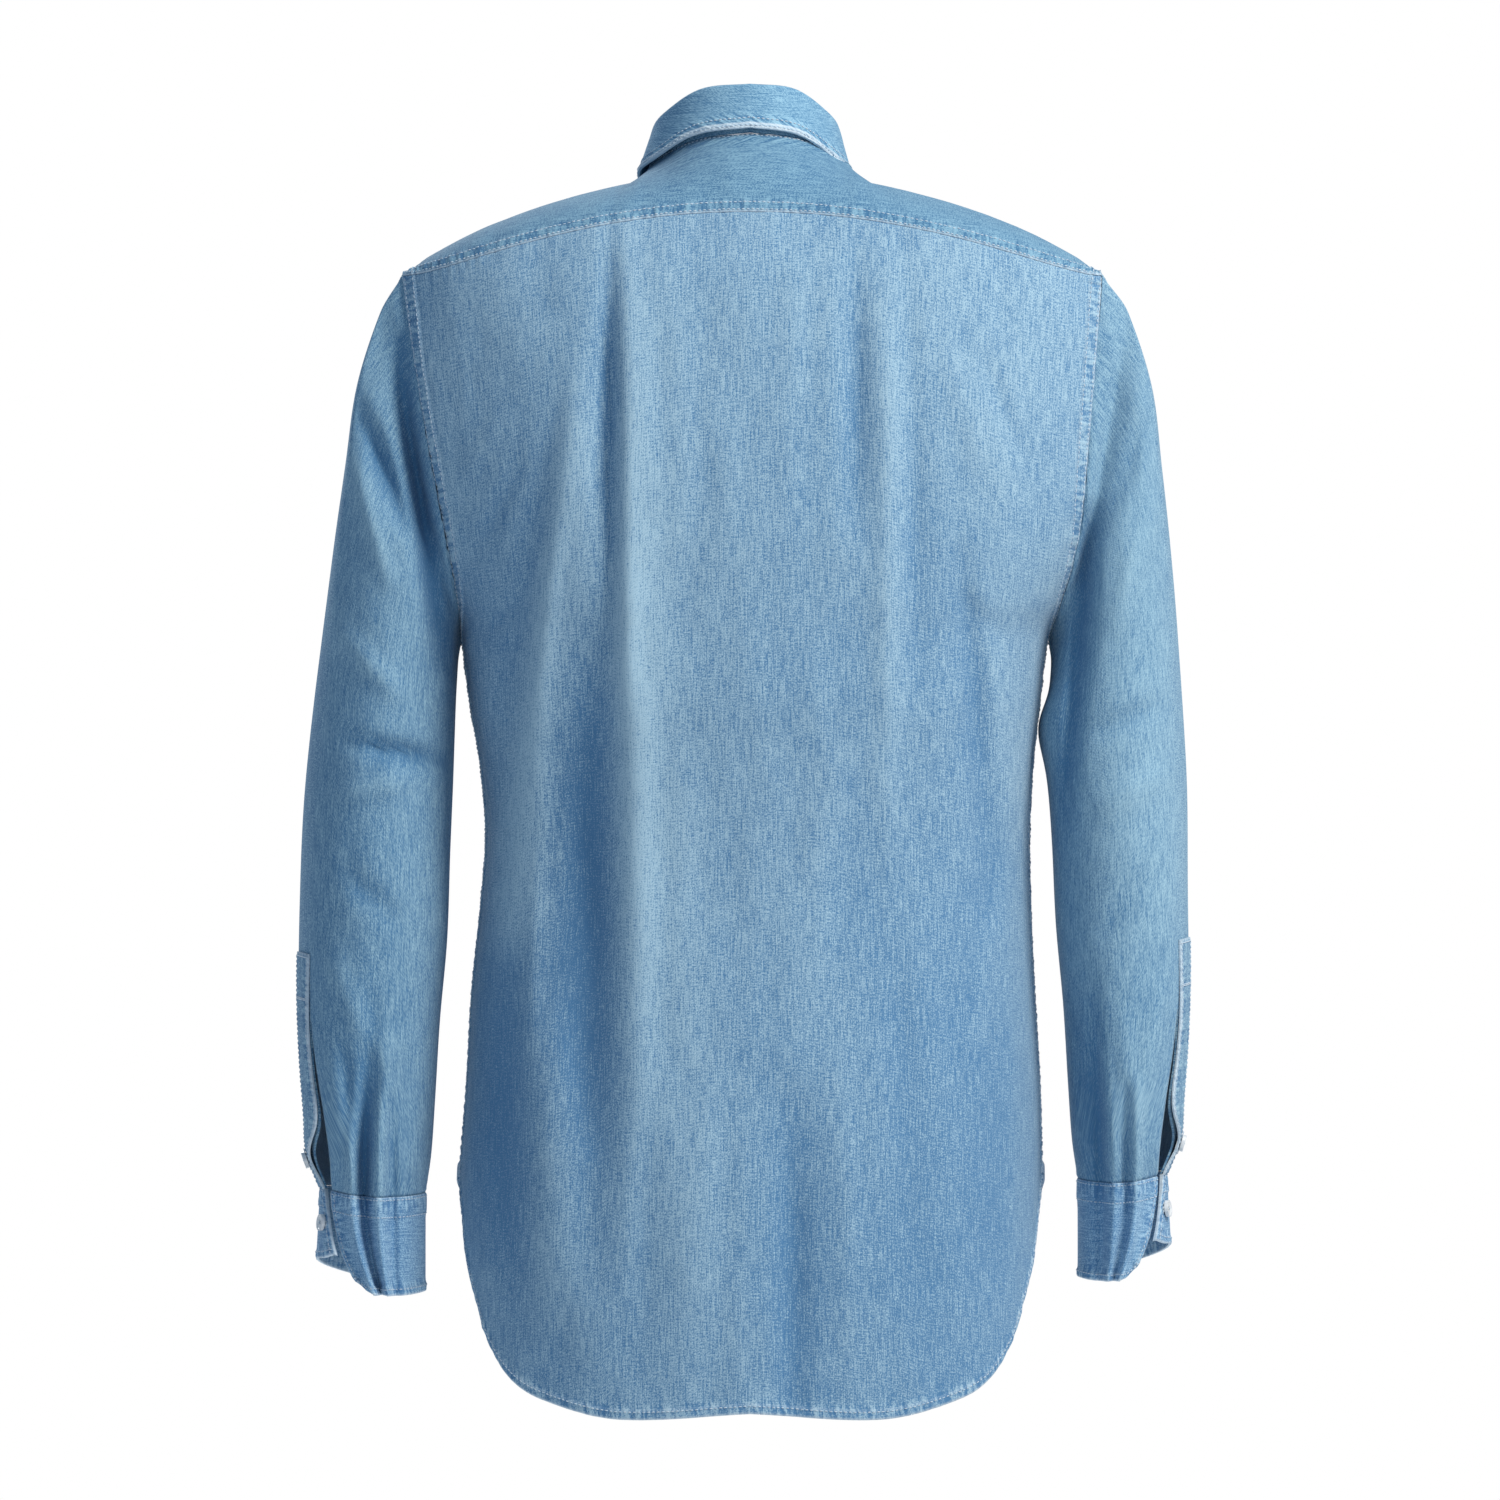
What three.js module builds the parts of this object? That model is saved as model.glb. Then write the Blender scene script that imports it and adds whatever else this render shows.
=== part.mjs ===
// A long-sleeved denim shirt, worn shape, on a general figure with the arms hanging.
// Millimetres, +Z up. The front faces -Y and the wearer's left is +X. The origin is the
// middle of the neck, level with the top of the shoulders.
import * as THREE from "three";

const WALL = 1.5; // the cloth with its turned edges
const SEAM = 0.3; // between two pieces sewn edge to edge
const LAYER = WALL + 0.6; // from one layer of the front to the one under it
const LAP = 0.055; // how far each front passes the centre line, as a share of the panel
const TUCK_ENDS = 0.165; // where the right front has come out from under the left one
const TUCK_FADE = 0.09;
const UNDERARM = -290; // height of the underarm point
const SIDE_HEM = -625; // height of the hem at the side seams
const FRONT_HEM = 0.82; // how deep the front tail is, compared with the back one
const SQUARE = 0.03; // how much squarer than an ellipse the body is

// The body's sections under the arms: half widths at the wearer's left and right, and
// how far the back and the front stand from the plane of the side seams.
const BODY = [
  { z: UNDERARM, left: 179, right: 185, back: 121, front: -136 },
  { z: -330, left: 174, right: 180, back: 118, front: -132 },
  { z: -365, left: 168, right: 176, back: 112, front: -125 },
  { z: -410, left: 164, right: 173.5, back: 107, front: -118 },
  { z: -450, left: 166.5, right: 174, back: 106, front: -117 },
  { z: -510, left: 172.5, right: 176.5, back: 111, front: -121 },
  { z: -570, left: 176, right: 180, back: 117, front: -126 },
  { z: SIDE_HEM, left: 180, right: 181, back: 121, front: -129 },
  { z: -700, left: 181, right: 181, back: 122, front: -128 },
  { z: -775, left: 178, right: 178, back: 119, front: -124 },
];

// Above the underarm each panel ends at its armhole edge. The turn is the angle, in
// degrees, that its section covers from the middle to that edge.
const BACK = [
  { z: -28, left: 216, right: 219, edge: 38, middle: 88, turn: 66 },
  { z: -66, left: 215, right: 218, edge: 42, middle: 104, turn: 66 },
  { z: -105, left: 210, right: 215, edge: 50, middle: 113, turn: 64 },
  { z: -165, left: 200, right: 210, edge: 54, middle: 121, turn: 65 },
  { z: -225, left: 189, right: 204, edge: 47, middle: 123, turn: 69 },
  { z: -268, left: 181, right: 193, edge: 27, middle: 122, turn: 79 },
  ...BODY.map(({ z, left, right, back }) => ({ z, left, right, edge: 0, middle: back, turn: 90 })),
];
const FRONT = [
  { z: -11, left: 213, right: 216, edge: -30, middle: -36.5, turn: 62 },
  { z: -52, left: 213, right: 216, edge: -33, middle: -62, turn: 62 },
  { z: -72, left: 213, right: 216, edge: -36, middle: -74, turn: 62 },
  { z: -110, left: 206, right: 212, edge: -52, middle: -100, turn: 62 },
  { z: -165, left: 197, right: 206, edge: -59, middle: -122, turn: 64 },
  { z: -225, left: 188, right: 200, edge: -52, middle: -133, turn: 69 },
  { z: -268, left: 181, right: 193, edge: -30, middle: -136, turn: 79 },
  ...BODY.map(({ z, left, right, front }) => ({ z, left, right, edge: 0, middle: front, turn: 90 })),
];

// The shirt tail's lower edge, from the middle of the back (0) to the side seam (1).
const HEM = [
  { u: 0, z: -768 },
  { u: 0.29, z: -772 },
  { u: 0.46, z: -763 },
  { u: 0.585, z: -750 },
  { u: 0.69, z: -725 },
  { u: 0.75, z: -701 },
  { u: 0.83, z: -676 },
  { u: 0.885, z: -651 },
  { u: 1, z: SIDE_HEM },
];

// Soft troughs and ridges in the cloth: each runs from one point to another and fades
// out at both ends. face is 1 on the back and -1 on the front, and deep is outward.
const FOLDS = [
  { face: 1, x: 90, z: -50, toX: 88, toZ: -310, wide: 10, deep: -5 },
  { face: 1, x: 73, z: -50, toX: 76, toZ: -500, wide: 15, deep: 3 },
  { face: 1, x: 100, z: -130, toX: 152, toZ: -490, wide: 15, deep: 5 },
  { face: 1, x: 92, z: -280, toX: 112, toZ: -610, wide: 19, deep: -7 },
  { face: 1, x: 128, z: -500, toX: 118, toZ: -730, wide: 16, deep: 4 },
  { face: 1, x: 162, z: -480, toX: 158, toZ: -700, wide: 18, deep: -6 },
  { face: 1, x: -62, z: -50, toX: -66, toZ: -240, wide: 10, deep: -3.5 },
  { face: 1, x: -84, z: -45, toX: -84, toZ: -440, wide: 10, deep: 2.5 },
  { face: 1, x: -102, z: -130, toX: -106, toZ: -340, wide: 11, deep: -2.5 },
  { face: 1, x: -132, z: -230, toX: -150, toZ: -470, wide: 13, deep: -3.5 },
  { face: 1, x: -25, z: -550, toX: -28, toZ: -790, wide: 16, deep: -3.5 },
  { face: 1, x: 36, z: -560, toX: 38, toZ: -790, wide: 18, deep: 2.5 },
  { face: 1, x: 242, z: -150, toX: 212, toZ: -225, wide: 10, deep: -5 },
  { face: 1, x: 240, z: -362, toX: 178, toZ: -366, wide: 8, deep: -4 },
  { face: 1, x: 235, z: -505, toX: 236, toZ: -650, wide: 7, deep: -6 },
  { face: 1, x: 224, z: -530, toX: 228, toZ: -650, wide: 8, deep: 4 },
  { face: 1, x: -198, z: -500, toX: -218, toZ: -650, wide: 9, deep: -6 },
  { face: 1, x: -232, z: -520, toX: -232, toZ: -650, wide: 8, deep: 4 },
  { face: -1, x: 95, z: -120, toX: 110, toZ: -420, wide: 16, deep: -5 },
  { face: -1, x: -100, z: -140, toX: -112, toZ: -460, wide: 16, deep: -5 },
  { face: -1, x: 70, z: -480, toX: 78, toZ: -740, wide: 18, deep: 4 },
  { face: -1, x: -62, z: -500, toX: -66, toZ: -740, wide: 18, deep: 4 },
  { face: -1, x: 238, z: -350, toX: 186, toZ: -372, wide: 9, deep: -4 },
  { face: -1, x: -238, z: -340, toX: -186, toZ: -362, wide: 9, deep: -4 },
];

// The yoke rises steeply from the back seam and rolls over the shoulder, from the middle
// of the back (0) past the neck point (1) to the armhole (2).
const YOKE = [
  { w: 0, rise: 18, lift: 3 },
  { w: 0.6, rise: 24, lift: 9 },
  { w: 1, rise: 28, lift: 19 },
  { w: 1.5, rise: 24, lift: 16 },
  { w: 2, rise: 8, lift: 6 },
];
const YOKE_SEAM = { middle: -28, edge: -66, flat: 2.2, turn: 1.6 };
const NECK_SHARE = 0.32; // the share of the back's width whose yoke ends at the neck
const NECK_POINT = { u: 0.22, z: -11, angle: 115 }; // where neck, yoke and front meet
const NECK = { wide: 62, back: 60, front: 67, forward: -8, drop: -75, scoop: 2.2 };
const SHOULDER = { drop: -70, bend: 1.1 }; // the front yoke seam falls to this at the armhole
const NECK_HEIGHT = [
  { angle: 0, z: 22 },
  { angle: 30, z: 18.5 },
  { angle: 60, z: 9 },
  { angle: 90, z: 0 },
  { angle: 115, z: -11 },
];

// The collar from the middle of the back (0) past the neck point (1) to the centre
// front (2): the height of its stand, and the leaf's length, tilt in degrees from the
// vertical and sweep away from the centre front.
const COLLAR = [
  { s: 0, stand: 24, leaf: 28, tilt: 17, sweep: 0 },
  { s: 0.27, stand: 25, leaf: 30, tilt: 18, sweep: 0 },
  { s: 0.52, stand: 22, leaf: 33, tilt: 20, sweep: 0 },
  { s: 0.78, stand: 20, leaf: 29, tilt: 19, sweep: 0.02 },
  { s: 1, stand: 22, leaf: 31, tilt: 21, sweep: 0.08 },
  { s: 1.4, stand: 27, leaf: 50, tilt: 29, sweep: 0.3 },
  { s: 2, stand: 29, leaf: 74, tilt: 28, sweep: 0.5 },
];
const STAND_LEAN = 0.16; // the collar's lean towards the neck for each mm of height
const LEAF_END = 0.65; // how far the leaf reaches over the last stretch to the centre front
const LEAF_ROLL = { low: 4, fold: 6, top: 6.2, out: 1.9, in: 0.5 }; // over the stand's top edge

// The sleeve from the armhole (0) to the cuff seam (1): the ring's inner and outer ends
// seen from behind, and how far it reaches back and forward.
const SLEEVE = [
  { t: 0, inX: 180, inZ: -290, outX: 216, outZ: -61, back: 54, front: -58 },
  { t: 0.05, inX: 181.5, inZ: -297, outX: 229, outZ: -86, back: 56, front: -60 },
  { t: 0.12, inX: 182.5, inZ: -304, outX: 243.5, outZ: -131, back: 58, front: -61 },
  { t: 0.2, inX: 183, inZ: -314, outX: 251, outZ: -180, back: 60, front: -62 },
  { t: 0.28, inX: 183.5, inZ: -328, outX: 258.5, outZ: -229, back: 61, front: -63 },
  { t: 0.36, inX: 184, inZ: -348, outX: 265, outZ: -279, back: 62, front: -64 },
  { t: 0.45, inX: 185, inZ: -380, outX: 270, outZ: -329, back: 62, front: -65 },
  { t: 0.55, inX: 187, inZ: -425, outX: 274.5, outZ: -390, back: 61, front: -65 },
  { t: 0.66, inX: 189, inZ: -478, outX: 276, outZ: -455, back: 59, front: -64 },
  { t: 0.76, inX: 193.5, inZ: -528, outX: 276.5, outZ: -515, back: 57, front: -62 },
  { t: 0.86, inX: 196.5, inZ: -577, outX: 274, outZ: -571, back: 54, front: -59 },
  { t: 0.94, inX: 199, inZ: -613, outX: 270.5, outZ: -609, back: 50, front: -55 },
  { t: 1, inX: 202.5, inZ: -637, outX: 262.5, outZ: -633, back: 44, front: -48 },
];
// The arms hang a little unevenly: from the elbow down each sleeve lies this much further
// out and higher than the table says.
const HANG = { left: { out: 2, up: 0 }, right: { out: -1, up: 9 }, from: 0.3, over: 0.4 };
// The opening up from the cuff: the angles of its two edges, from the ring's outer end
// (0) towards the back (90). The lap is the edge that carries the placket.
const SLIT = [
  { t: 0.78, back: 35, lap: 35 },
  { t: 0.84, back: 42, lap: 37 },
  { t: 0.9, back: 49, lap: 42 },
  { t: 0.95, back: 50, lap: 25 },
  { t: 1, back: 39, lap: 27 },
];
const FRONT_SEAM_ANGLE = 330; // where the front yoke seam runs into the sleeve
const TUCK = { deep: 9, at: 0.055, wide: 0.04 }; // the sleeve's dip beside the armhole
const KEEP = { from: 0.08, over: 0.42 }; // where the armhole's own shape fades out
const PLACKET_TOP = 0.71;
const PLACKET = { thick: 1.2, columns: 2, curl: 2.5, wave: 2.2, straight: 3 };
const CUFF = {
  height: 57,
  rows: 4,
  backEnd: 33, // how far the lower corner of each end is turned back, in degrees
  flapEnd: 27,
  flapRise: 13,
  flapStand: 5,
  slant: 4,
  free: 0.3, // the share of the cuff's length over which each end comes away
};

const BUTTON = { radius: 5.2, thick: 2.2, rim: 0.8, dish: 0.4 };
const FRONT_BUTTON_ROWS = [2, 5, 10, 12, 14, 16]; // rows of the left front, about 85 mm apart
const GUSSET = { top: -606, bottom: -641, back: 0.93, front: 0.95 };

// How finely each run of cloth is divided. Pieces that meet share these numbers.
const COUNT = { neck: 6, seam: 9, frontNeck: 4, backArm: 12, frontArm: 10, side: 10, yoke: 5 };

const CLOTH = {
  body: { color: 0x80a6c1, roughness: 0.92 },
  yoke: { color: 0x749dbd, roughness: 0.92 },
  sleeve: { color: 0x7296b4, roughness: 0.92 },
  cuff: { color: 0x668da8, roughness: 0.92 },
  collar: { color: 0x7ba5c3, roughness: 0.92 },
  button: { color: 0xe9eaea, roughness: 0.35 },
};

const radians = THREE.MathUtils.degToRad;
const lerp = THREE.MathUtils.lerp;
const vector = (x, y, z) => new THREE.Vector3(x, y, z);
const within = (value) => Math.min(1, Math.max(0, value));
const ease = (value) => within(value) ** 2 * (3 - 2 * within(value));
const hump = (value) => Math.exp(-value * value);
const steps = (count) => Array.from({ length: count + 1 }, (_, i) => i / count);

// A smooth curve through a table's rows: for a value of the key column it gives every
// other column.
function curveThrough(rows, key) {
  const names = Object.keys(rows[0]).filter((name) => name !== key);
  const direction = Math.sign(rows[1][key] - rows[0][key]);
  return (value) => {
    let k = 0;
    while (k < rows.length - 2 && (value - rows[k + 1][key]) * direction > 0) k += 1;
    const from = rows[k];
    const to = rows[k + 1];
    const before = rows[k - 1] ?? from;
    const after = rows[k + 2] ?? to;
    const span = to[key] - from[key];
    const t = within((value - from[key]) / span);
    const found = {};
    for (const name of names) {
      if (from[name] === to[name]) {
        found[name] = from[name];
        continue;
      }
      const leave = ((to[name] - before[name]) / (to[key] - before[key])) * span;
      const arrive = ((after[name] - from[name]) / (after[key] - from[key])) * span;
      found[name] =
        from[name] * (1 + 2 * t) * (1 - t) ** 2 +
        leave * t * (1 - t) ** 2 +
        to[name] * t * t * (3 - 2 * t) -
        arrive * t * t * (1 - t);
    }
    return found;
  };
}

const backAt = curveThrough(BACK, "z");
const frontAt = curveThrough(FRONT, "z");
const hemAt = curveThrough(HEM, "u");
const yokeAt = curveThrough(YOKE, "w");
const neckHeightAt = curveThrough(NECK_HEIGHT, "angle");
const collarAt = curveThrough(COLLAR, "s");
const sleeveAt = curveThrough(SLEEVE, "t");
const slitAt = curveThrough(SLIT, "t");

// How far the folds push the cloth out at a place on the back (face 1) or front (-1).
function foldPush(x, z, face) {
  let push = 0;
  for (const fold of FOLDS.filter((row) => row.face === face)) {
    const along = vector(fold.toX - fold.x, 0, fold.toZ - fold.z);
    const reach = along.length();
    const offset = vector(x - fold.x, 0, z - fold.z);
    const t = offset.dot(along) / (reach * reach);
    if (t <= 0 || t >= 1) continue;
    const aside = offset.addScaledVector(along, -t).length();
    push += fold.deep * hump(aside / fold.wide) * Math.sin(Math.PI * t) ** 0.7;
  }
  return push;
}

// The folds move cloth straight back or forward, so a seam's two sides move alike.
function folded(point) {
  const face = point.y > 0 ? 1 : -1;
  point.y += face * ease(Math.abs(point.y) / 40) * foldPush(point.x, point.z, face);
  return point;
}

// A point of a body section. u runs from -1 at the wearer's right edge to 1 at the left.
function sectionPoint(row, u, z) {
  const turn = radians(row.turn);
  const reach = Math.abs(u);
  const square = 1 + SQUARE * Math.sin(Math.PI * within(reach)) ** 2;
  const wide = (Math.sin(reach * turn) / Math.sin(turn)) * square;
  const deep = ((Math.cos(reach * turn) - Math.cos(turn)) / (1 - Math.cos(turn))) * square;
  const half = u < 0 ? -row.right : row.left;
  return folded(vector(half * wide, row.edge + (row.middle - row.edge) * deep, z));
}

const backPoint = (u, z) => sectionPoint(backAt(z), u, z);
const frontPoint = (u, z) => sectionPoint(frontAt(z), u, z);

// The heights of the seams and edges along each panel.
function yokeSeam(u) {
  const turn = radians(BACK[0].turn);
  const out = Math.sin(Math.abs(u) * turn) / Math.sin(turn);
  return lerp(YOKE_SEAM.edge, YOKE_SEAM.middle, (1 - out ** YOKE_SEAM.flat) ** YOKE_SEAM.turn);
}
function frontTop(u) {
  const reach = Math.abs(u);
  if (reach < NECK_POINT.u) {
    return lerp(NECK.drop, NECK_POINT.z, (reach / NECK_POINT.u) ** NECK.scoop);
  }
  const along = (reach - NECK_POINT.u) / (1 - NECK_POINT.u);
  return lerp(NECK_POINT.z, SHOULDER.drop, along ** SHOULDER.bend);
}
const backHem = (u) => hemAt(Math.abs(u)).z;
const frontHem = (u) => lerp(SIDE_HEM, backHem(u), FRONT_HEM);

// The armhole's rows lie closer together towards the underarm, where it turns.
const armholeShare = (t) => (t + Math.sin((Math.PI / 2) * t)) / 2;

function panelRows(point, top, hem, arm) {
  const upper = steps(arm).map((t) => (u) => point(u, lerp(top(u), UNDERARM, armholeShare(t))));
  const lower = steps(COUNT.side).map((t) => (u) => point(u, lerp(UNDERARM, hem(u), t)));
  return [...upper, ...lower.slice(1)];
}

// The neck seam from the middle of the back (0) past the neck point (1) to the centre
// front (2) and on under or over the other front.
function neckSeam(side, s) {
  if (s > 1) {
    const u = NECK_POINT.u * (2 - s);
    return frontPoint(side * u, frontTop(u));
  }
  const round = (angle) => {
    const turned = radians(angle);
    const depth = angle < 90 ? NECK.back : NECK.front;
    const { z } = neckHeightAt(angle);
    return vector(side * NECK.wide * Math.sin(turned), NECK.forward + depth * Math.cos(turned), z);
  };
  const end = frontPoint(side * NECK_POINT.u, NECK_POINT.z).sub(round(NECK_POINT.angle));
  return round(NECK_POINT.angle * s).addScaledVector(end, s * s);
}

// Near the centre front the right side lies one layer further in than the left.
const tuckedUnder = (side, u) => (side < 0 ? LAYER * ease((TUCK_ENDS - u) / TUCK_FADE) : 0);

// The yoke: w runs from the middle of the back past the neck point to the armhole, and
// s from the back seam to the neck or the front seam.
function yokePoint(side, w, s) {
  const u = side * (w < 1 ? NECK_SHARE * w : lerp(NECK_SHARE, 1, w - 1));
  const back = backPoint(u, yokeSeam(u));
  const under = backPoint(u, yokeSeam(u) - 5);
  const ahead = side * lerp(NECK_POINT.u, 1, w - 1);
  const end = w < 1 ? neckSeam(side, w) : frontPoint(ahead, frontTop(ahead));
  const { rise, lift } = yokeAt(w);
  const first = back.clone().addScaledVector(back.clone().sub(under).normalize(), rise);
  const second = end.clone().lerp(back, 1 / 3).add(vector(0, 0, lift));
  return new THREE.CubicBezierCurve3(back, first, second, end).getPoint(s);
}

// The armhole loop, from the back yoke seam down the back, up the front and over the
// yoke to where it began.
function armhole(side) {
  const back = steps(COUNT.backArm).map((t) =>
    backPoint(side, lerp(YOKE_SEAM.edge, UNDERARM, armholeShare(t))),
  );
  const front = steps(COUNT.frontArm).map((t) =>
    frontPoint(side, lerp(frontTop(side), UNDERARM, armholeShare(1 - t))),
  );
  const over = steps(COUNT.yoke).map((t) => yokePoint(side, 2, 1 - t));
  return [...back, ...front.slice(1), ...over.slice(1)];
}

// The angle of each of the sleeve's columns, from the slit round the back, the inside
// and the front to the slit again.
function sleeveAngles(t) {
  const { back, lap } = slitAt(t);
  const rear = steps(COUNT.backArm).map((s) => lerp(back, 180, s));
  const front = steps(COUNT.frontArm).map((s) => lerp(180, FRONT_SEAM_ANGLE, s));
  const outer = steps(COUNT.yoke).map((s) => lerp(FRONT_SEAM_ANGLE, 360 + lap, s));
  return [...rear, ...front.slice(1), ...outer.slice(1)];
}

function sleeveRing(side, t, angle) {
  const row = sleeveAt(t);
  const cos = Math.cos(radians(angle));
  const sin = Math.sin(radians(angle));
  const { out, up } = side > 0 ? HANG.left : HANG.right;
  const hang = ease((t - HANG.from) / HANG.over);
  const x = lerp(row.inX, row.outX, (1 + cos) / 2) + out * hang;
  const z = lerp(row.inZ, row.outZ, (1 + cos) / 2) + up * hang;
  return vector(side * x, sin > 0 ? row.back * sin : -row.front * sin, z);
}

// Each ring keeps some of the armhole's own shape until half way down.
function sleeveRows(side, places) {
  const loop = armhole(side);
  const start = sleeveAngles(0).map((angle) => sleeveRing(side, 0, angle));
  return places.map((t) => {
    const keep = 1 - ease((t - KEEP.from) / KEEP.over);
    const dip = TUCK.deep * hump((t - TUCK.at) / TUCK.wide) * ease(t / TUCK.at);
    return sleeveAngles(t).map((angle, i) => {
      const point = sleeveRing(side, t, angle);
      point.add(loop[i].clone().sub(start[i]).multiplyScalar(keep));
      point.y -= dip * Math.max(0, Math.sin(radians(angle))) ** 2;
      return t === 0 ? loop[i].clone() : folded(point);
    });
  });
}

// The outward direction of the cloth at each point of a grid of rows. closed gives the
// last row whose two ends are one point.
function directions(grid, closed = -1) {
  const at = (row, i) => grid[row][i];
  return grid.map((row, j) =>
    row.map((_, i) => {
      const joined = j <= closed && (i === 0 || i === row.length - 1);
      const before = joined ? at(j, row.length - 2) : at(j, Math.max(i - 1, 0));
      const after = joined ? at(j, 1) : at(j, Math.min(i + 1, row.length - 1));
      const above = at(Math.max(j - 1, 0), i);
      const below = at(Math.min(j + 1, grid.length - 1), i);
      return after.clone().sub(before).cross(below.clone().sub(above)).normalize();
    }),
  );
}

// Where pieces meet at an open angle they share one direction, so their edges mitre.
const keyOf = (point) => point.toArray().map((value) => value.toFixed(2)).join(" ");
function mitre(pieces) {
  const met = new Map();
  for (const { grid, out } of pieces)
    grid.forEach((row, j) =>
      row.forEach((point, i) => {
        const key = keyOf(point);
        if (!met.has(key)) met.set(key, []);
        met.get(key).push(out[j][i].clone());
      }),
    );
  for (const { grid, out } of pieces)
    grid.forEach((row, j) =>
      row.forEach((point, i) => {
        const own = out[j][i].clone();
        const near = met.get(keyOf(point)).filter((other) => other.dot(own) > 0.4);
        out[j][i] = near.reduce((sum, other) => sum.add(other), vector(0, 0, 0)).normalize();
      }),
    );
}

// Moves one edge of a grid into its own cloth by half the seam's gap.
function drawIn(grid, edge) {
  const last = grid.length - 1;
  const end = grid[0].length - 1;
  const places = {
    top: [grid[0].map((_, i) => [0, i]), [1, 0]],
    bottom: [grid[0].map((_, i) => [last, i]), [-1, 0]],
    start: [grid.map((_, j) => [j, 0]), [0, 1]],
    end: [grid.map((_, j) => [j, end]), [0, -1]],
  };
  const [line, [down, over]] = places[edge];
  const points = line.map(([j, i]) => grid[j][i].clone());
  line.forEach(([j, i], k) => {
    const [before, after] = [Math.max(k - 1, 0), Math.min(k + 1, points.length - 1)];
    const along = points[after].clone().sub(points[before]);
    const inward = grid[j + down][i + over].clone().sub(points[k]);
    inward.addScaledVector(along, -inward.dot(along) / along.lengthSq());
    grid[j][i] = points[k].clone().addScaledVector(inward.normalize(), SEAM / 2);
  });
}

// A closed wall of cloth under a grid of outer points.
function wallGeometry({ grid, out, closed = -1, sewn = [], wall = WALL }) {
  const outer = grid.map((row) => row.map((point) => point.clone()));
  const inner = grid.map((row, j) => row.map((p, i) => p.clone().addScaledVector(out[j][i], -wall)));
  for (const edge of sewn) [outer, inner].forEach((layer) => drawIn(layer, edge));
  const last = grid.length - 1;
  const end = grid[0].length - 1;
  const points = [...outer, ...inner].flat();
  const index = (layer, j, i) =>
    (layer * grid.length + j) * (end + 1) + (i === end && j <= closed ? 0 : i);
  const faces = [];
  const quad = (a, b, c, d) => faces.push(a, b, c, a, c, d);
  for (let j = 0; j < last; j += 1)
    for (let i = 0; i < end; i += 1) {
      quad(index(0, j, i), index(0, j, i + 1), index(0, j + 1, i + 1), index(0, j + 1, i));
      quad(index(1, j, i), index(1, j + 1, i), index(1, j + 1, i + 1), index(1, j, i + 1));
    }
  for (let i = 0; i < end; i += 1) {
    quad(index(0, 0, i), index(1, 0, i), index(1, 0, i + 1), index(0, 0, i + 1));
    quad(index(0, last, i), index(0, last, i + 1), index(1, last, i + 1), index(1, last, i));
  }
  for (let j = Math.max(closed, 0); j < last; j += 1) {
    quad(index(0, j, 0), index(0, j + 1, 0), index(1, j + 1, 0), index(1, j, 0));
    quad(index(0, j, end), index(1, j, end), index(1, j + 1, end), index(0, j + 1, end));
  }
  const used = [...new Set(faces)];
  const kept = used.map((old) => points[old]);
  const place = new Map(used.map((old, fresh) => [old, fresh]));
  const geometry = new THREE.BufferGeometry();
  geometry.setFromPoints(kept);
  geometry.setIndex(outwards(faces.map((old) => place.get(old)), kept));
  geometry.computeVertexNormals();
  return geometry;
}

// Turns every face over if the solid they close would be inside out.
function outwards(faces, points) {
  let volume = 0;
  for (let k = 0; k < faces.length; k += 3) {
    const [a, b, c] = [faces[k], faces[k + 1], faces[k + 2]].map((n) => points[n]);
    volume += a.dot(b.clone().cross(c));
  }
  return volume > 0 ? faces : faces.toReversed();
}

function addPiece(group, name, geometry, cloth) {
  const material = new THREE.MeshStandardMaterial({ ...cloth, metalness: 0 });
  const mesh = new THREE.Mesh(geometry, material);
  mesh.name = name;
  group.add(mesh);
  return mesh;
}

// One side's directions point in on a mirrored grid, so they are turned to face out.
function cloth(name, look, grid, { side = 1, ...how } = {}) {
  const out = directions(grid, how.closed).map((row) => row.map((v) => v.multiplyScalar(side)));
  return { name, look, grid, out, ...how };
}

const shirt = new THREE.Group();
const SIDES = [
  { name: "left", side: 1 },
  { name: "right", side: -1 },
];

// Columns of the back and yoke, from the wearer's right armhole to the left one.
const halfWidths = [...steps(COUNT.neck), ...steps(COUNT.seam).slice(1).map((w) => 1 + w)];
const widths = [...halfWidths.slice(1).reverse().map((w) => -w), ...halfWidths];
function backShare(w) {
  const reach = Math.abs(w);
  return Math.sign(w) * (reach < 1 ? NECK_SHARE * reach : lerp(NECK_SHARE, 1, reach - 1));
}

const backRows = panelRows(backPoint, yokeSeam, backHem, COUNT.backArm);
const back = cloth(
  "back",
  CLOTH.body,
  backRows.map((row) => widths.map((w) => row(backShare(w)))),
  { side: 1, sewn: ["top", "start", "end"] },
);
const yoke = cloth(
  "yoke",
  CLOTH.yoke,
  steps(COUNT.yoke).map((s) => widths.map((w) => yokePoint(Math.sign(w) || 1, Math.abs(w), 1 - s))),
  { side: 1, sewn: ["top", "bottom", "start", "end"] },
);

// Each front runs from past the centre line to the armhole and side seam. Near the
// centre the right one lies a layer further in.
const frontWidths = [
  -LAP,
  ...steps(COUNT.frontNeck).map((t) => NECK_POINT.u * t),
  ...steps(COUNT.seam).slice(1).map((t) => lerp(NECK_POINT.u, 1, t)),
];
const fronts = SIDES.map(({ name, side }) => {
  const rows = panelRows(frontPoint, frontTop, frontHem, COUNT.frontArm);
  const grid = rows.map((row) =>
    frontWidths.map((u) => row(side * u).add(vector(0, tuckedUnder(side, u), 0))),
  );
  return cloth("front_" + name, CLOTH.body, grid, { side: -side, sewn: ["top", "end"] });
});

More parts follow.
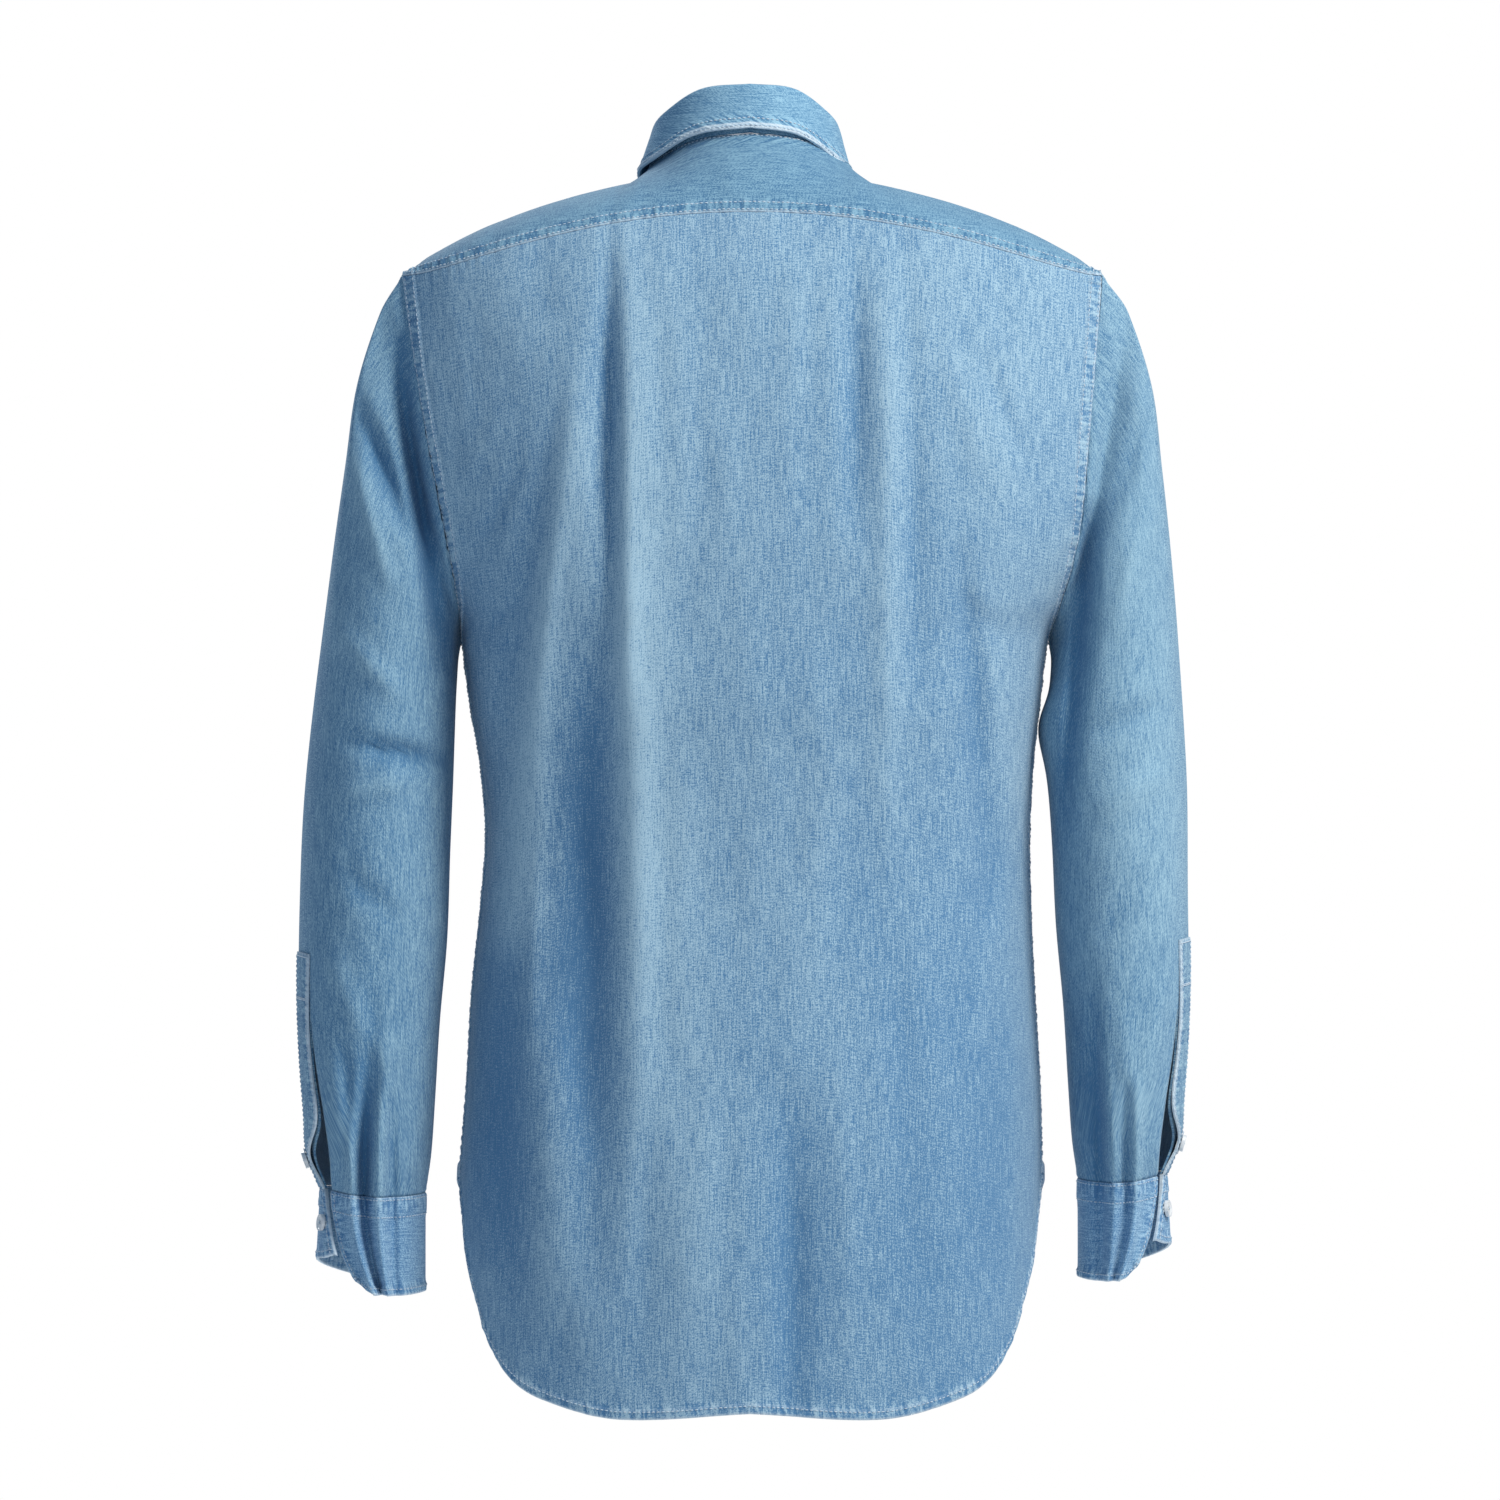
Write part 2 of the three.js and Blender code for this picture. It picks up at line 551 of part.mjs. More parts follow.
// The sleeves, open from a slit down to the cuff.
const sleevePlaces = [
  0, 0.03, 0.06, 0.1, 0.15, 0.21, 0.28, 0.36, 0.45, 0.54, 0.63, 0.71, 0.78, 0.84, 0.9, 0.95, 1,
];
const slitRow = sleevePlaces.indexOf(SLIT[0].t);
const sleeves = SIDES.map(({ name, side }) =>
  cloth("sleeve_" + name, CLOTH.sleeve, sleeveRows(side, sleevePlaces), {
    side: -side,
    closed: slitRow,
    sewn: ["top", "bottom"],
  }),
);

mitre([back, yoke, ...fronts, ...sleeves]);

// Each cuff hangs from its sleeve's edge. Its ends are cut on a slope, and the one that
// laps over stands a little proud.
function cuffGrid(side) {
  const angles = sleeveAngles(1);
  const count = angles.length - 1;
  const edge = sleeveRows(side, [1])[0];
  return steps(CUFF.rows).map((f) =>
    angles.map((angle, i) => {
      const fromBack = 1 - ease(i / (count * CUFF.free));
      const fromLap = 1 - ease((count - i) / (count * CUFF.free));
      const turned = angle + CUFF.backEnd * f * f * fromBack + CUFF.flapEnd * f * fromLap;
      const shift = sleeveRing(side, 1, turned).sub(sleeveRing(side, 1, angle));
      const point = edge[i].clone().add(shift);
      const out = vector(side * Math.cos(radians(turned)), Math.sin(radians(turned)), 0);
      point.addScaledVector(out, CUFF.flapStand * fromLap * f);
      const fall = CUFF.height - CUFF.flapRise * fromLap - CUFF.slant * Math.cos(radians(turned));
      point.z -= fall * f;
      return point;
    }),
  );
}
const cuffs = SIDES.map(({ name, side }) =>
  cloth("cuff_" + name, CLOTH.cuff, cuffGrid(side), { side: -side, sewn: ["top"] }),
);

// The placket lies on the sleeve along the lap edge, and its free edge curls out.
const plackets = SIDES.map(({ name, side }, k) => {
  const from = sleevePlaces.indexOf(PLACKET_TOP);
  const { grid, out } = sleeves[k];
  const lifted = grid.slice(from).map((row, j) =>
    row.slice(-1 - PLACKET.columns).map((point, i) => {
      const wave = ease(j / PLACKET.straight) * (1 + Math.sin(j * PLACKET.wave));
      const curl = PLACKET.curl * (i / PLACKET.columns) * wave;
      const away = SEAM + PLACKET.thick + curl / 2;
      const normal = out[from + j][row.length - 1 - PLACKET.columns + i];
      return point.clone().addScaledVector(normal, away);
    }),
  );
  return cloth("placket_" + name, CLOTH.sleeve, lifted, {
    side: -side,
    wall: PLACKET.thick,
    sewn: ["bottom"],
  });
});

// The collar, from the wearer's right end round the back to the left end. The right end
// goes under the left one.
const lapEnd = 2 + LAP / NECK_POINT.u;
const neckPlaces = [
  ...steps(COUNT.neck),
  ...steps(COUNT.frontNeck).slice(1).map((t) => 1 + t),
  lapEnd,
];
const collarPlaces = [...neckPlaces.slice(1).reverse().map((s) => -s), ...neckPlaces];
const NEAR = 0.05; // a short way along the neck seam
function collarFrame(s) {
  const side = s < 0 ? -1 : 1;
  const reach = Math.abs(s);
  const base = neckSeam(side, reach);
  const ahead = neckSeam(side, Math.min(reach + NEAR, lapEnd));
  ahead.sub(neckSeam(side, Math.max(reach - NEAR, 0)));
  const away = vector(-side * ahead.y, side * ahead.x, 0).normalize();
  if (reach < NEAR) away.set(0, 1, 0);
  const under = tuckedUnder(side, NECK_POINT.u * (2 - reach));
  base.addScaledVector(away, -under);
  return { base, away, under, forward: ahead.normalize(), ...collarAt(Math.min(reach, 2)) };
}
function collarPoint(s, out, up) {
  const { base, away } = collarFrame(s);
  return base.addScaledVector(away, out - STAND_LEAN * up).add(vector(0, 0, up));
}
const STAND_ROWS = 2;
const collarStand = cloth(
  "collar_stand",
  CLOTH.collar,
  steps(STAND_ROWS).map((f) =>
    collarPlaces.map((s) => collarPoint(s, 0, SEAM + (collarFrame(s).stand - SEAM) * f)),
  ),
  { side: -1 },
);

// The leaf starts on the stand, rolls over the fold and falls outwards.
const LEAF_ROWS = 4;
function leafColumn(s) {
  const { stand, leaf, tilt, sweep, away, forward, under } = collarFrame(s);
  const roll = [
    [-WALL, SEAM],
    [-WALL, LEAF_ROLL.low],
    [under / 2 - LEAF_ROLL.in, LEAF_ROLL.fold],
    [under + LEAF_ROLL.out, LEAF_ROLL.top],
  ].map(([out, up]) => collarPoint(s, out, stand + up));
  const down = vector(0, 0, -Math.cos(radians(tilt)));
  const fall = down.addScaledVector(away, Math.sin(radians(tilt))).addScaledVector(forward, -sweep);
  fall.normalize();
  const start = roll.at(-1);
  const flat = steps(LEAF_ROWS).slice(1).map((f) => start.clone().addScaledVector(fall, leaf * f));
  return [...roll, ...flat];
}
const lastLeafPlace = neckPlaces.at(-3);
const leafEnd = (side) =>
  leafColumn(side * lastLeafPlace).map((point, j) => point.lerp(leafColumn(side * 2)[j], LEAF_END));
const leafColumns = [
  leafEnd(-1),
  ...collarPlaces.filter((s) => Math.abs(s) <= lastLeafPlace).map(leafColumn),
  leafEnd(1),
];
const collarLeaf = cloth(
  "collar_leaf",
  CLOTH.collar,
  leafColumns[0].map((_, j) => leafColumns.map((column) => column[j])),
  { side: 1 },
);

// A small gusset inside each side seam closes the fork between the two tails.
const gussets = SIDES.map(({ name, side }) => {
  const columns = [
    (z) => backPoint(side * GUSSET.back, z),
    (z) => backPoint(side, z),
    (z) => frontPoint(side * GUSSET.front, z),
  ];
  const grid = steps(3).map((f) =>
    columns.map((column) => {
      const point = column(lerp(GUSSET.top, GUSSET.bottom, f));
      point.x -= side * (LAYER + SEAM);
      return point;
    }),
  );
  return cloth("gusset_" + name, CLOTH.body, grid, { side });
});

const panels = [back, yoke, ...fronts, ...sleeves, ...cuffs, ...plackets];
for (const piece of [...panels, collarStand, collarLeaf, ...gussets]) {
  addPiece(shirt, piece.name, wallGeometry(piece), piece.look);
}

// A button is turned, with a raised rim, and sits on its cloth facing out.
function buttonGeometry() {
  const { radius, thick, rim, dish } = BUTTON;
  const profile = [
    [0, 0],
    [radius, 0],
    [radius, thick],
    [radius - rim, thick],
    [radius - rim * 1.6, thick - dish],
    [0, thick - dish],
  ];
  return new THREE.LatheGeometry(profile.map(([r, y]) => new THREE.Vector2(r, y)), 12);
}
function addButton(name, point, facing) {
  const mesh = addPiece(shirt, name, buttonGeometry(), CLOTH.button);
  mesh.position.copy(point).addScaledVector(facing, SEAM);
  mesh.quaternion.setFromUnitVectors(vector(0, 1, 0), facing);
}

const [leftFront] = fronts;
FRONT_BUTTON_ROWS.forEach((row, k) =>
  addButton("button_front_" + (k + 1), leftFront.grid[row][1], leftFront.out[row][1]),
);
const centre = collarPlaces.indexOf(2);
addButton("button_collar", collarStand.grid[1][centre], collarStand.out[1][centre]);

SIDES.forEach(({ name }, k) => {
  const { grid, out } = plackets[k];
  addButton("button_placket_" + name, grid[4][1], out[4][1]);
  const cuff = cuffs[k];
  const last = cuff.grid[0].length - 1;
  const middle = cuff.grid[2][last - 1];
  addButton("button_cuff_" + name, middle, cuff.out[2][last - 1]);
});

export default shirt;
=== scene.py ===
"""A long-sleeved washed denim shirt in its worn shape, seen from behind."""

import bmesh
import bpy
import numpy as np
from mathutils import Matrix, Vector


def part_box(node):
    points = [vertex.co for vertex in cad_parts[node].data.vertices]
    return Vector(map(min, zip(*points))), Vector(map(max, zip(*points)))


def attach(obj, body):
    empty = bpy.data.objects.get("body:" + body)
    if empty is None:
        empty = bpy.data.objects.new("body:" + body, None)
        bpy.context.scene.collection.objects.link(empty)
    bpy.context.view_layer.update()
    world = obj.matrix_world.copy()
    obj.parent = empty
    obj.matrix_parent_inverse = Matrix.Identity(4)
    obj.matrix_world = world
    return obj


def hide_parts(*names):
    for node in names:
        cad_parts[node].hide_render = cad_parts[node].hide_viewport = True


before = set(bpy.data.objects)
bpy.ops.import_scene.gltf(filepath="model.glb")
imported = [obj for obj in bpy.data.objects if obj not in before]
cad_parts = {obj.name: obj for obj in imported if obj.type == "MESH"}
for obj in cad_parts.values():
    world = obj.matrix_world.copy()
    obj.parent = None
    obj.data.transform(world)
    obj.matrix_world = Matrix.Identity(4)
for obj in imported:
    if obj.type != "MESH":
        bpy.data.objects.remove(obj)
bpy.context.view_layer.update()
for item in bpy.context.selected_objects:
    item.select_set(False)

# The back is one panel of light washed denim. It hangs from the yoke seam, is felled to
# the sleeves and fronts at its sides, and ends in a curved tail with a rolled hem.
WALL = 1.1
SQUARE = 0.03
UNDERARM = -290
SIDE_HEM = -625
YOKE_MIDDLE = -28
YOKE_EDGE = -66
YOKE_FLAT, YOKE_TURN = 2.2, 1.6
# Height, half widths at the left and right, and reach of the back and front.
BODY = [
    (UNDERARM, 179, 185, 121, -136),
    (-330, 174, 180, 118, -132),
    (-365, 168, 176, 112, -125),
    (-410, 164, 173.5, 107, -118),
    (-450, 166.5, 174, 106, -117),
    (-510, 172.5, 176.5, 111, -121),
    (-570, 176, 180, 117, -126),
    (SIDE_HEM, 180, 181, 121, -129),
    (-700, 181, 181, 122, -128),
    (-775, 178, 178, 119, -124),
]
# Height, half widths, reach at the armhole edge and in the middle, and the turn between.
BACK = [
    (-28, 216, 219, 38, 88, 66),
    (-66, 215, 218, 42, 104, 66),
    (-105, 210, 215, 50, 113, 64),
    (-165, 200, 210, 54, 121, 65),
    (-225, 189, 204, 47, 123, 69),
    (-268, 181, 193, 27, 122, 79),
] + [(z, left, right, 0, back, 90) for z, left, right, back, front in BODY]
HEM = [
    (0, -768),
    (0.29, -772),
    (0.46, -763),
    (0.585, -750),
    (0.69, -725),
    (0.75, -701),
    (0.83, -676),
    (0.885, -651),
    (1, SIDE_HEM),
]
# The main folds, then the smaller creases. Each runs between two points of the back (1)
# or front (-1), with its width and how far it stands out.
FOLDS = [
    (1, 90, -50, 88, -310, 10, -5),
    (1, 73, -50, 76, -500, 15, 3),
    (1, 100, -130, 152, -490, 15, 5),
    (1, 92, -280, 112, -610, 19, -7),
    (1, 128, -500, 118, -730, 16, 4),
    (1, 162, -480, 158, -700, 18, -6),
    (1, -62, -50, -66, -240, 10, -3.5),
    (1, -84, -45, -84, -440, 10, 2.5),
    (1, -102, -130, -106, -340, 11, -2.5),
    (1, -132, -230, -150, -470, 13, -3.5),
    (1, -25, -550, -28, -790, 16, -3.5),
    (1, 36, -560, 38, -790, 18, 2.5),
    (1, 242, -150, 212, -225, 10, -5),
    (1, 240, -362, 178, -366, 8, -4),
    (1, 235, -505, 236, -650, 7, -6),
    (1, 224, -530, 228, -650, 8, 4),
    (1, -198, -500, -218, -650, 9, -6),
    (1, -232, -520, -232, -650, 8, 4),
    (-1, 95, -120, 110, -420, 16, -5),
    (-1, -100, -140, -112, -460, 16, -5),
    (-1, 70, -480, 78, -740, 18, 4),
    (-1, -62, -500, -66, -740, 18, 4),
    (-1, 238, -350, 186, -372, 9, -4),
    (-1, -238, -340, -186, -362, 9, -4),
]
CREASES = [
    (1, 87, -20, 85, -330, 5, -4.6),
    (1, 77, -20, 76, -400, 6, 3.4),
    (1, 74, -230, 70, -680, 13, 4.6),
    (1, 92, -260, 98, -700, 13, -5.5),
    (1, 77, -60, 74, -540, 32, 3.5),
    (1, 106, -110, 154, -500, 8, 4.2),
    (1, 120, -150, 166, -420, 9, -3),
    (1, 150, -470, 146, -740, 15, -5.5),
    (1, 126, -330, 142, -620, 7, 3),
    (1, 176, -320, 160, -520, 8, -3.5),
    (1, 219, -96, 190, -315, 6, -13),
    (1, 204, -92, 176, -300, 8, 3),
    (1, -212, -205, -194, -410, 6, -11),
    (1, -196, -200, -178, -330, 8, 2.5),
    (1, 60, -60, 52, -210, 7, -1.4),
    (1, 28, -70, 34, -280, 9, -1.3),
    (1, -28, -50, -22, -240, 8, 1.2),
    (1, -66, -30, -64, -230, 5, -2.2),
    (1, -84, -30, -86, -460, 6, 1.4),
    (1, -98, -60, -102, -330, 5, -2.0),
    (1, -112, -90, -150, -200, 9, 1.6),
    (1, -140, -110, -172, -190, 6, -1.8),
    (1, -125, -260, -165, -300, 6, -1.6),
    (1, -128, -230, -150, -470, 6, -2.4),
    (1, -142, -250, -166, -430, 7, 2.0),
    (1, -150, -300, -100, -420, 7, -1.3),
    (1, -160, -400, -120, -560, 8, -1.6),
    (1, -90, -470, -100, -700, 10, -2.2),
    (1, -116, -520, -130, -740, 11, 1.8),
    (1, -150, -480, -152, -700, 10, -2.4),
    (1, -60, -540, -62, -760, 9, 1.8),
    (1, -24, -560, -26, -790, 9, -2.6),
    (1, 4, -560, 8, -790, 9, 1.4),
    (1, 62, -560, 66, -760, 8, -1.6),
    (1, 10, -320, 4, -520, 12, -1.3),
    (1, 44, -330, 40, -560, 10, 1.3),
    (1, -40, -300, -46, -520, 12, 1.3),
    (1, 138, -180, 176, -250, 6, -2.2),
    (1, 150, -150, 190, -210, 6, 1.6),
    (1, 120, -90, 170, -130, 8, 1.3),
    (1, 130, -250, 172, -300, 5, -1.6),
    (1, 244, -140, 210, -232, 6, -6),
    (1, 250, -170, 222, -262, 7, 4.5),
    (1, 262, -280, 214, -330, 7, 3.9),
    (1, 258, -352, 186, -368, 5, -5.1),
    (1, 262, -392, 206, -376, 6, 3.6),
    (1, 256, -430, 214, -470, 6, -3.3),
    (1, 266, -480, 226, -560, 8, 3.3),
    (1, 252, -540, 240, -640, 5, -5.3),
    (1, 246, -560, 247, -690, 4, 5.7),
    (1, 238, -560, 240, -690, 3.5, -6.9),
    (1, 230, -570, 231, -690, 4, 5.3),
    (1, 222, -570, 222, -680, 3.5, -5.3),
    (1, -246, -150, -216, -232, 7, -3.6),
    (1, -254, -200, -222, -290, 8, 3),
    (1, -262, -330, -206, -352, 6, -3.6),
    (1, -264, -372, -212, -398, 7, 3.3),
    (1, -250, -430, -214, -480, 6, -3),
    (1, -258, -500, -236, -600, 8, 3.6),
    (1, -212, -500, -222, -680, 4, -6.9),
    (1, -220, -540, -226, -680, 4, 4.9),
    (1, -232, -560, -234, -680, 3.5, -5.7),
    (1, -240, -560, -240, -680, 4, 4.5),
    (-1, 60, -110, 52, -330, 9, 1.6),
    (-1, -52, -120, -44, -300, 9, 1.6),
    (-1, 140, -170, 172, -250, 7, -2.2),
    (-1, -140, -170, -172, -250, 7, -2.2),
    (-1, 126, -120, 160, -180, 7, 1.8),
    (-1, -126, -120, -160, -180, 7, 1.8),
    (-1, 108, -240, 128, -460, 9, 2.2),
    (-1, -108, -250, -130, -480, 9, 2.4),
    (-1, 130, -420, 100, -640, 9, -2.4),
    (-1, -136, -400, -104, -620, 9, -2.4),
    (-1, 46, -340, 56, -560, 9, -1.6),
    (-1, -40, -360, -52, -600, 9, -1.8),
    (-1, 30, -560, 34, -740, 10, -1.6),
    (-1, -110, -560, -96, -720, 9, 1.8),
    (-1, 150, -500, 146, -640, 9, 1.6),
    (-1, 244, -150, 212, -240, 7, -4.5),
    (-1, 262, -352, 196, -378, 6, -4.5),
    (-1, 258, -400, 206, -392, 6, 3.3),
    (-1, 250, -500, 226, -600, 7, -3.3),
    (-1, 236, -560, 240, -680, 4, 4.9),
    (-1, -244, -150, -212, -240, 7, -4.5),
    (-1, -260, -340, -196, -366, 6, -4.5),
    (-1, -256, -390, -206, -384, 6, 3.3),
    (-1, -250, -500, -226, -600, 7, -3.3),
    (-1, -234, -560, -240, -670, 4, 4.9),
]
# Painted shade and painted light: zones where the colour is made lighter (above 0) as a painted
# highlight, or darker as painted shade, the dark shadow bands beside the armholes among them: face,
# middle, half width and half height, and how much.
PAINTED_SHADE_AND_LIGHT = [
    (1, -120, -640, 70, 210, -6.2),
    (1, 0, -690, 60, 130, -2.4),
    (1, 112, -530, 32, 260, -3.2),
    (1, 155, -560, 26, 150, -2.2),
    (1, -140, -110, 60, 90, 1.0),
    (1, 36, -330, 36, 280, 1.8),
    (1, -66, -280, 12, 200, -1.2),
    (1, 212, -130, 9, 50, -4.0),
    (1, 196, -215, 9, 60, -5.0),
    (1, 181, -290, 9, 50, -5.0),
    (1, -207, -250, 8, 50, -4.0),
    (1, -195, -330, 8, 60, -5.0),
    (1, -193, -400, 8, 40, -4.0),
    (1, 258, -300, 60, 120, -1.6),
    (1, 240, -420, 50, 110, -2.4),
    (1, 240, -590, 50, 110, -4.2),
    (1, -235, -380, 50, 120, 2.8),
    (1, -235, -600, 50, 110, -2.6),
    (-1, 120, -600, 80, 190, -3.0),
    (-1, -120, -600, 80, 190, -3.0),
    (-1, 240, -590, 50, 120, -3.0),
    (-1, -240, -590, 50, 120, -3.0),
]


def smooth(value):
    value = np.clip(value, 0, 1)
    return value * value * (3 - 2 * value)


def lerp(first, last, share):
    return first + (last - first) * share


def curve_through(rows):
    """A smooth curve through a table's rows, found by its first column."""
    table = np.array(rows, float)
    key, rest = table[:, 0], table[:, 1:]
    going = np.sign(key[1] - key[0])

    def at(value):
        value = np.asarray(value, float)
        k = np.clip(np.searchsorted(going * key, going * value) - 1, 0, len(key) - 2)
        low, high = np.maximum(k - 1, 0), np.minimum(k + 2, len(key) - 1)
        span = key[k + 1] - key[k]
        t = np.clip((value - key[k]) / span, 0, 1)[..., None]
        here, there = rest[k], rest[k + 1]
        leave = (there - rest[low]) * (span / (key[k + 1] - key[low]))[..., None]
        arrive = (rest[high] - here) * (span / (key[high] - key[k]))[..., None]
        found = here * (1 + 2 * t) * (1 - t) ** 2 + leave * t * (1 - t) ** 2
        found = found + there * t * t * (3 - 2 * t) - arrive * t * t * (1 - t)
        return np.moveaxis(np.where(here == there, here, found), -1, 0)

    return at


LATTICE = np.random.default_rng(11).random((64, 64)) * 2 - 1


def rumple(x, y):
    """Soft uneven ground between -1 and 1, with hills about one unit wide."""
    column, row = np.floor(x).astype(int), np.floor(y).astype(int)
    across, up = smooth(x - column), smooth(y - row)
    corner = lambda i, j: LATTICE[(row + j) % 64, (column + i) % 64]
    low = lerp(corner(0, 0), corner(1, 0), across)
    return lerp(low, lerp(corner(0, 1), corner(1, 1), across), up)


# How gently a fold ends, how far from the side seams the folds die out, and the uneven
# ground between them: height, width, length, and how far its two faces lie apart.
FOLD_TAPER = 0.7
SIDE_CALM = 40
UNEVEN = [(1.3, 31, 74, 5, 0), (0.6, 13, 38, 0, 9), (0.22, 5.5, 17, 0, 3)]


def fold_push(x, z, face):
    push = np.zeros_like(x)
    for side, from_x, from_z, to_x, to_z, wide, deep in FOLDS + CREASES:
        along = np.array((to_x - from_x, to_z - from_z), float)
        reach = np.hypot(*along)
        t = ((x - from_x) * along[0] + (z - from_z) * along[1]) / reach**2
        aside = np.abs((x - from_x) * along[1] - (z - from_z) * along[0]) / reach
        fade = np.sin(np.pi * np.clip(t, 0, 1)) ** FOLD_TAPER
        push += (face == side) * deep * np.exp(-((aside / wide) ** 2)) * fade
    for high, wide, tall, aside, up in UNEVEN:
        push += high * rumple(x / wide + aside * face, z / tall + up * face)
    return push


# Painted shade and light: how much lighter or darker the colour is made at each point.
def painted_shade_at(x, z, face):
    amount = np.zeros_like(x)
    for side, at_x, at_z, wide, high, much in PAINTED_SHADE_AND_LIGHT:
        away = ((x - at_x) / wide) ** 2 + ((z - at_z) / high) ** 2
        amount += (face == side) * much * np.exp(-away)
    return amount


def folded(points):
    """The folds move cloth straight back or forward, so a seam's two sides move alike."""
    x, y, z = np.moveaxis(points, -1, 0)
    face = np.where(y > 0, 1, -1)
    points = points.copy()
    points[..., 1] += face * smooth(np.abs(y) / SIDE_CALM) * fold_push(x, z, face)
    return points


def section_point(section, u, z):
    """A point of a body section; u is -1 at the wearer's right edge and 1 at the left."""
    u, z = np.broadcast_arrays(np.asarray(u, float), np.asarray(z, float))
    left, right, edge, middle, turn = section(z)
    turn = np.radians(turn)
    reach = np.abs(u)
    square = 1 + SQUARE * np.sin(np.pi * np.clip(reach, 0, 1)) ** 2
    wide = np.sin(reach * turn) / np.sin(turn) * square
    deep = (np.cos(reach * turn) - np.cos(turn)) / (1 - np.cos(turn)) * square
    x = np.where(u < 0, -right, left) * wide
    return folded(np.stack((x, edge + (middle - edge) * deep, z), axis=-1))


back_at, hem_at = curve_through(BACK), curve_through(HEM)


def back_point(u, z):
    return section_point(back_at, u, z)


def yoke_seam(u):
    turn = np.radians(BACK[0][5])
    out = np.sin(np.abs(u) * turn) / np.sin(turn)
    return lerp(YOKE_EDGE, YOKE_MIDDLE, np.clip(1 - out**YOKE_FLAT, 0, 1) ** YOKE_TURN)


def back_hem(u):
    return hem_at(np.abs(u))[0]


CROWDING = 0.72


def closer(count, ends=(1, 1)):
    """Shares from 0 to 1 that lie closer together towards the given ends."""
    t = np.linspace(0, 1, count + 1)
    if ends == (1, 1):
        return t - CROWDING * np.sin(2 * np.pi * t) / (2 * np.pi)
    towards_last = 1 if ends == (0, 1) else -1
    return t + towards_last * CROWDING * np.sin(np.pi * t) / np.pi


def panel(point, top, hem, columns, upper, lower):
    """A body panel's grid: rows from its top to the underarm, then on to the hem."""
    share = closer(upper, (1, 0))[:, None]
    above = lerp(top(columns), UNDERARM, share)
    below = lerp(UNDERARM, hem(columns), closer(lower, (0, 1))[1:, None])
    return point(columns[None, :], np.concatenate((above, below)))


def outward(grid, side, ring=None):
    """Which way the cloth faces. ring is the last row whose two ends are one point."""
    across, down = np.gradient(grid, axis=1), np.gradient(grid, axis=0)
    if ring is not None:
        joined = grid[: ring + 1, 1] - grid[: ring + 1, -2]
        across[: ring + 1, 0] = across[: ring + 1, -1] = joined / 2
    normal = np.cross(across, down) * side
    return normal / np.maximum(np.linalg.norm(normal, axis=-1, keepdims=True), 1e-9)


def edge_distances(grid):
    """How far each point lies from the top, bottom, start and end of its grid."""
    down = np.linalg.norm(np.diff(grid, axis=0), axis=-1)
    over = np.linalg.norm(np.diff(grid, axis=1), axis=-1)
    top = np.concatenate((np.zeros((1, grid.shape[1])), np.cumsum(down, axis=0)))
    start = np.concatenate((np.zeros((grid.shape[0], 1)), np.cumsum(over, axis=1)), axis=1)
    return {"top": top, "bottom": top[-1] - top, "start": start, "end": start[:, -1:] - start}


def pucker(along, phase=0.0):
    """The uneven ripple that a shrunken thread leaves along a seam."""
    sway = 1.6 * np.sin(along / 23 + phase)
    coarse = np.sin(along * 0.98 + sway) * (0.65 + 0.35 * np.sin(along / 16 + 2 * phase))
    return coarse + 0.45 * np.sin(along * 1.9 + 1.3 * np.sin(along / 9) + phase)


def sew_edge(away, along, rise, wide, ripple, phase=0.0):
    """A turned and stitched edge: raised over its width, rippled there and just beyond."""
    raised = rise * smooth((wide + 0.8 - away) / 1.2)
    rounded = -0.45 * np.exp(-((away / 0.5) ** 2))
    spread = np.exp(-(((away - 0.55 * wide) / (0.75 * wide + 1)) ** 2))
    return raised + rounded + ripple * spread * pucker(along, phase)


# How wide an edge is rubbed pale, how pale its inner ridge is, and no seam near, in mm.
RUBBED_EDGE, RUBBED_RIDGE, FAR_FROM_SEAMS = 1.3, 0.45, 60.0


def cloth_piece(name, grid, side, edges, ring=None, wall=WALL, warp_across=False, middle=0):
    """The outer grid of a piece with its sewn edges. An edge is (place, rise, width,
    ripple, wear), and what else the mesh needs is kept with it. The warp is straight
    along the middle column."""
    far = edge_distances(grid)
    across, down = far["start"], far["top"]
    straight = across - across[:, middle : middle + 1]
    seam_height = grid[-1:, :, 2] + far["bottom"]
    relief = np.zeros(grid.shape[:2])
    seam = np.full(grid.shape[:2], FAR_FROM_SEAMS)
    along_seam = np.zeros(grid.shape[:2])
    wear = np.zeros(grid.shape[:2])
    for number, (place, rise, wide, ripple, worn) in enumerate(edges):
        along = across if place in ("top", "bottom") else down
        relief += sew_edge(far[place], along, rise, wide, ripple, number + len(name))
        nearer = (far[place] < seam) & (rise > 0)
        seam = np.where(nearer, far[place], seam)
        along_seam = np.where(nearer, along, along_seam)
        rubbed = np.exp(-((far[place] / RUBBED_EDGE) ** 2))
        rubbed = rubbed + RUBBED_RIDGE * np.exp(-((far[place] - wide) ** 2))
        wear = np.maximum(wear, worn * rubbed)
    facing = outward(grid, side, ring)
    x, y, z = np.moveaxis(grid, -1, 0)
    face = np.where(y > 0, 1, -1)
    return {
        "name": name,
        "grid": grid + facing * relief[..., None],
        "inner": grid - facing * wall,
        "out": facing,
        "side": side,
        "ring": -1 if ring is None else ring,
        "uv": (seam_height, across) if warp_across else (straight, down),
        "seam": seam,
        "along": along_seam,
        "wear": wear,
        "far": far,
        # The fold value carries the relief of the folds and the painted shade and light zones.
        "fold": smooth(np.abs(y) / SIDE_CALM) * fold_push(x, z, face) + painted_shade_at(x, z, face),
    }


def corners(numbers):
    """The four corner numbers of each face of a grid."""
    around = (numbers[:-1, :-1], numbers[:-1, 1:], numbers[1:, 1:], numbers[1:, :-1])
    return np.stack(around, axis=-1).reshape(-1, 4)


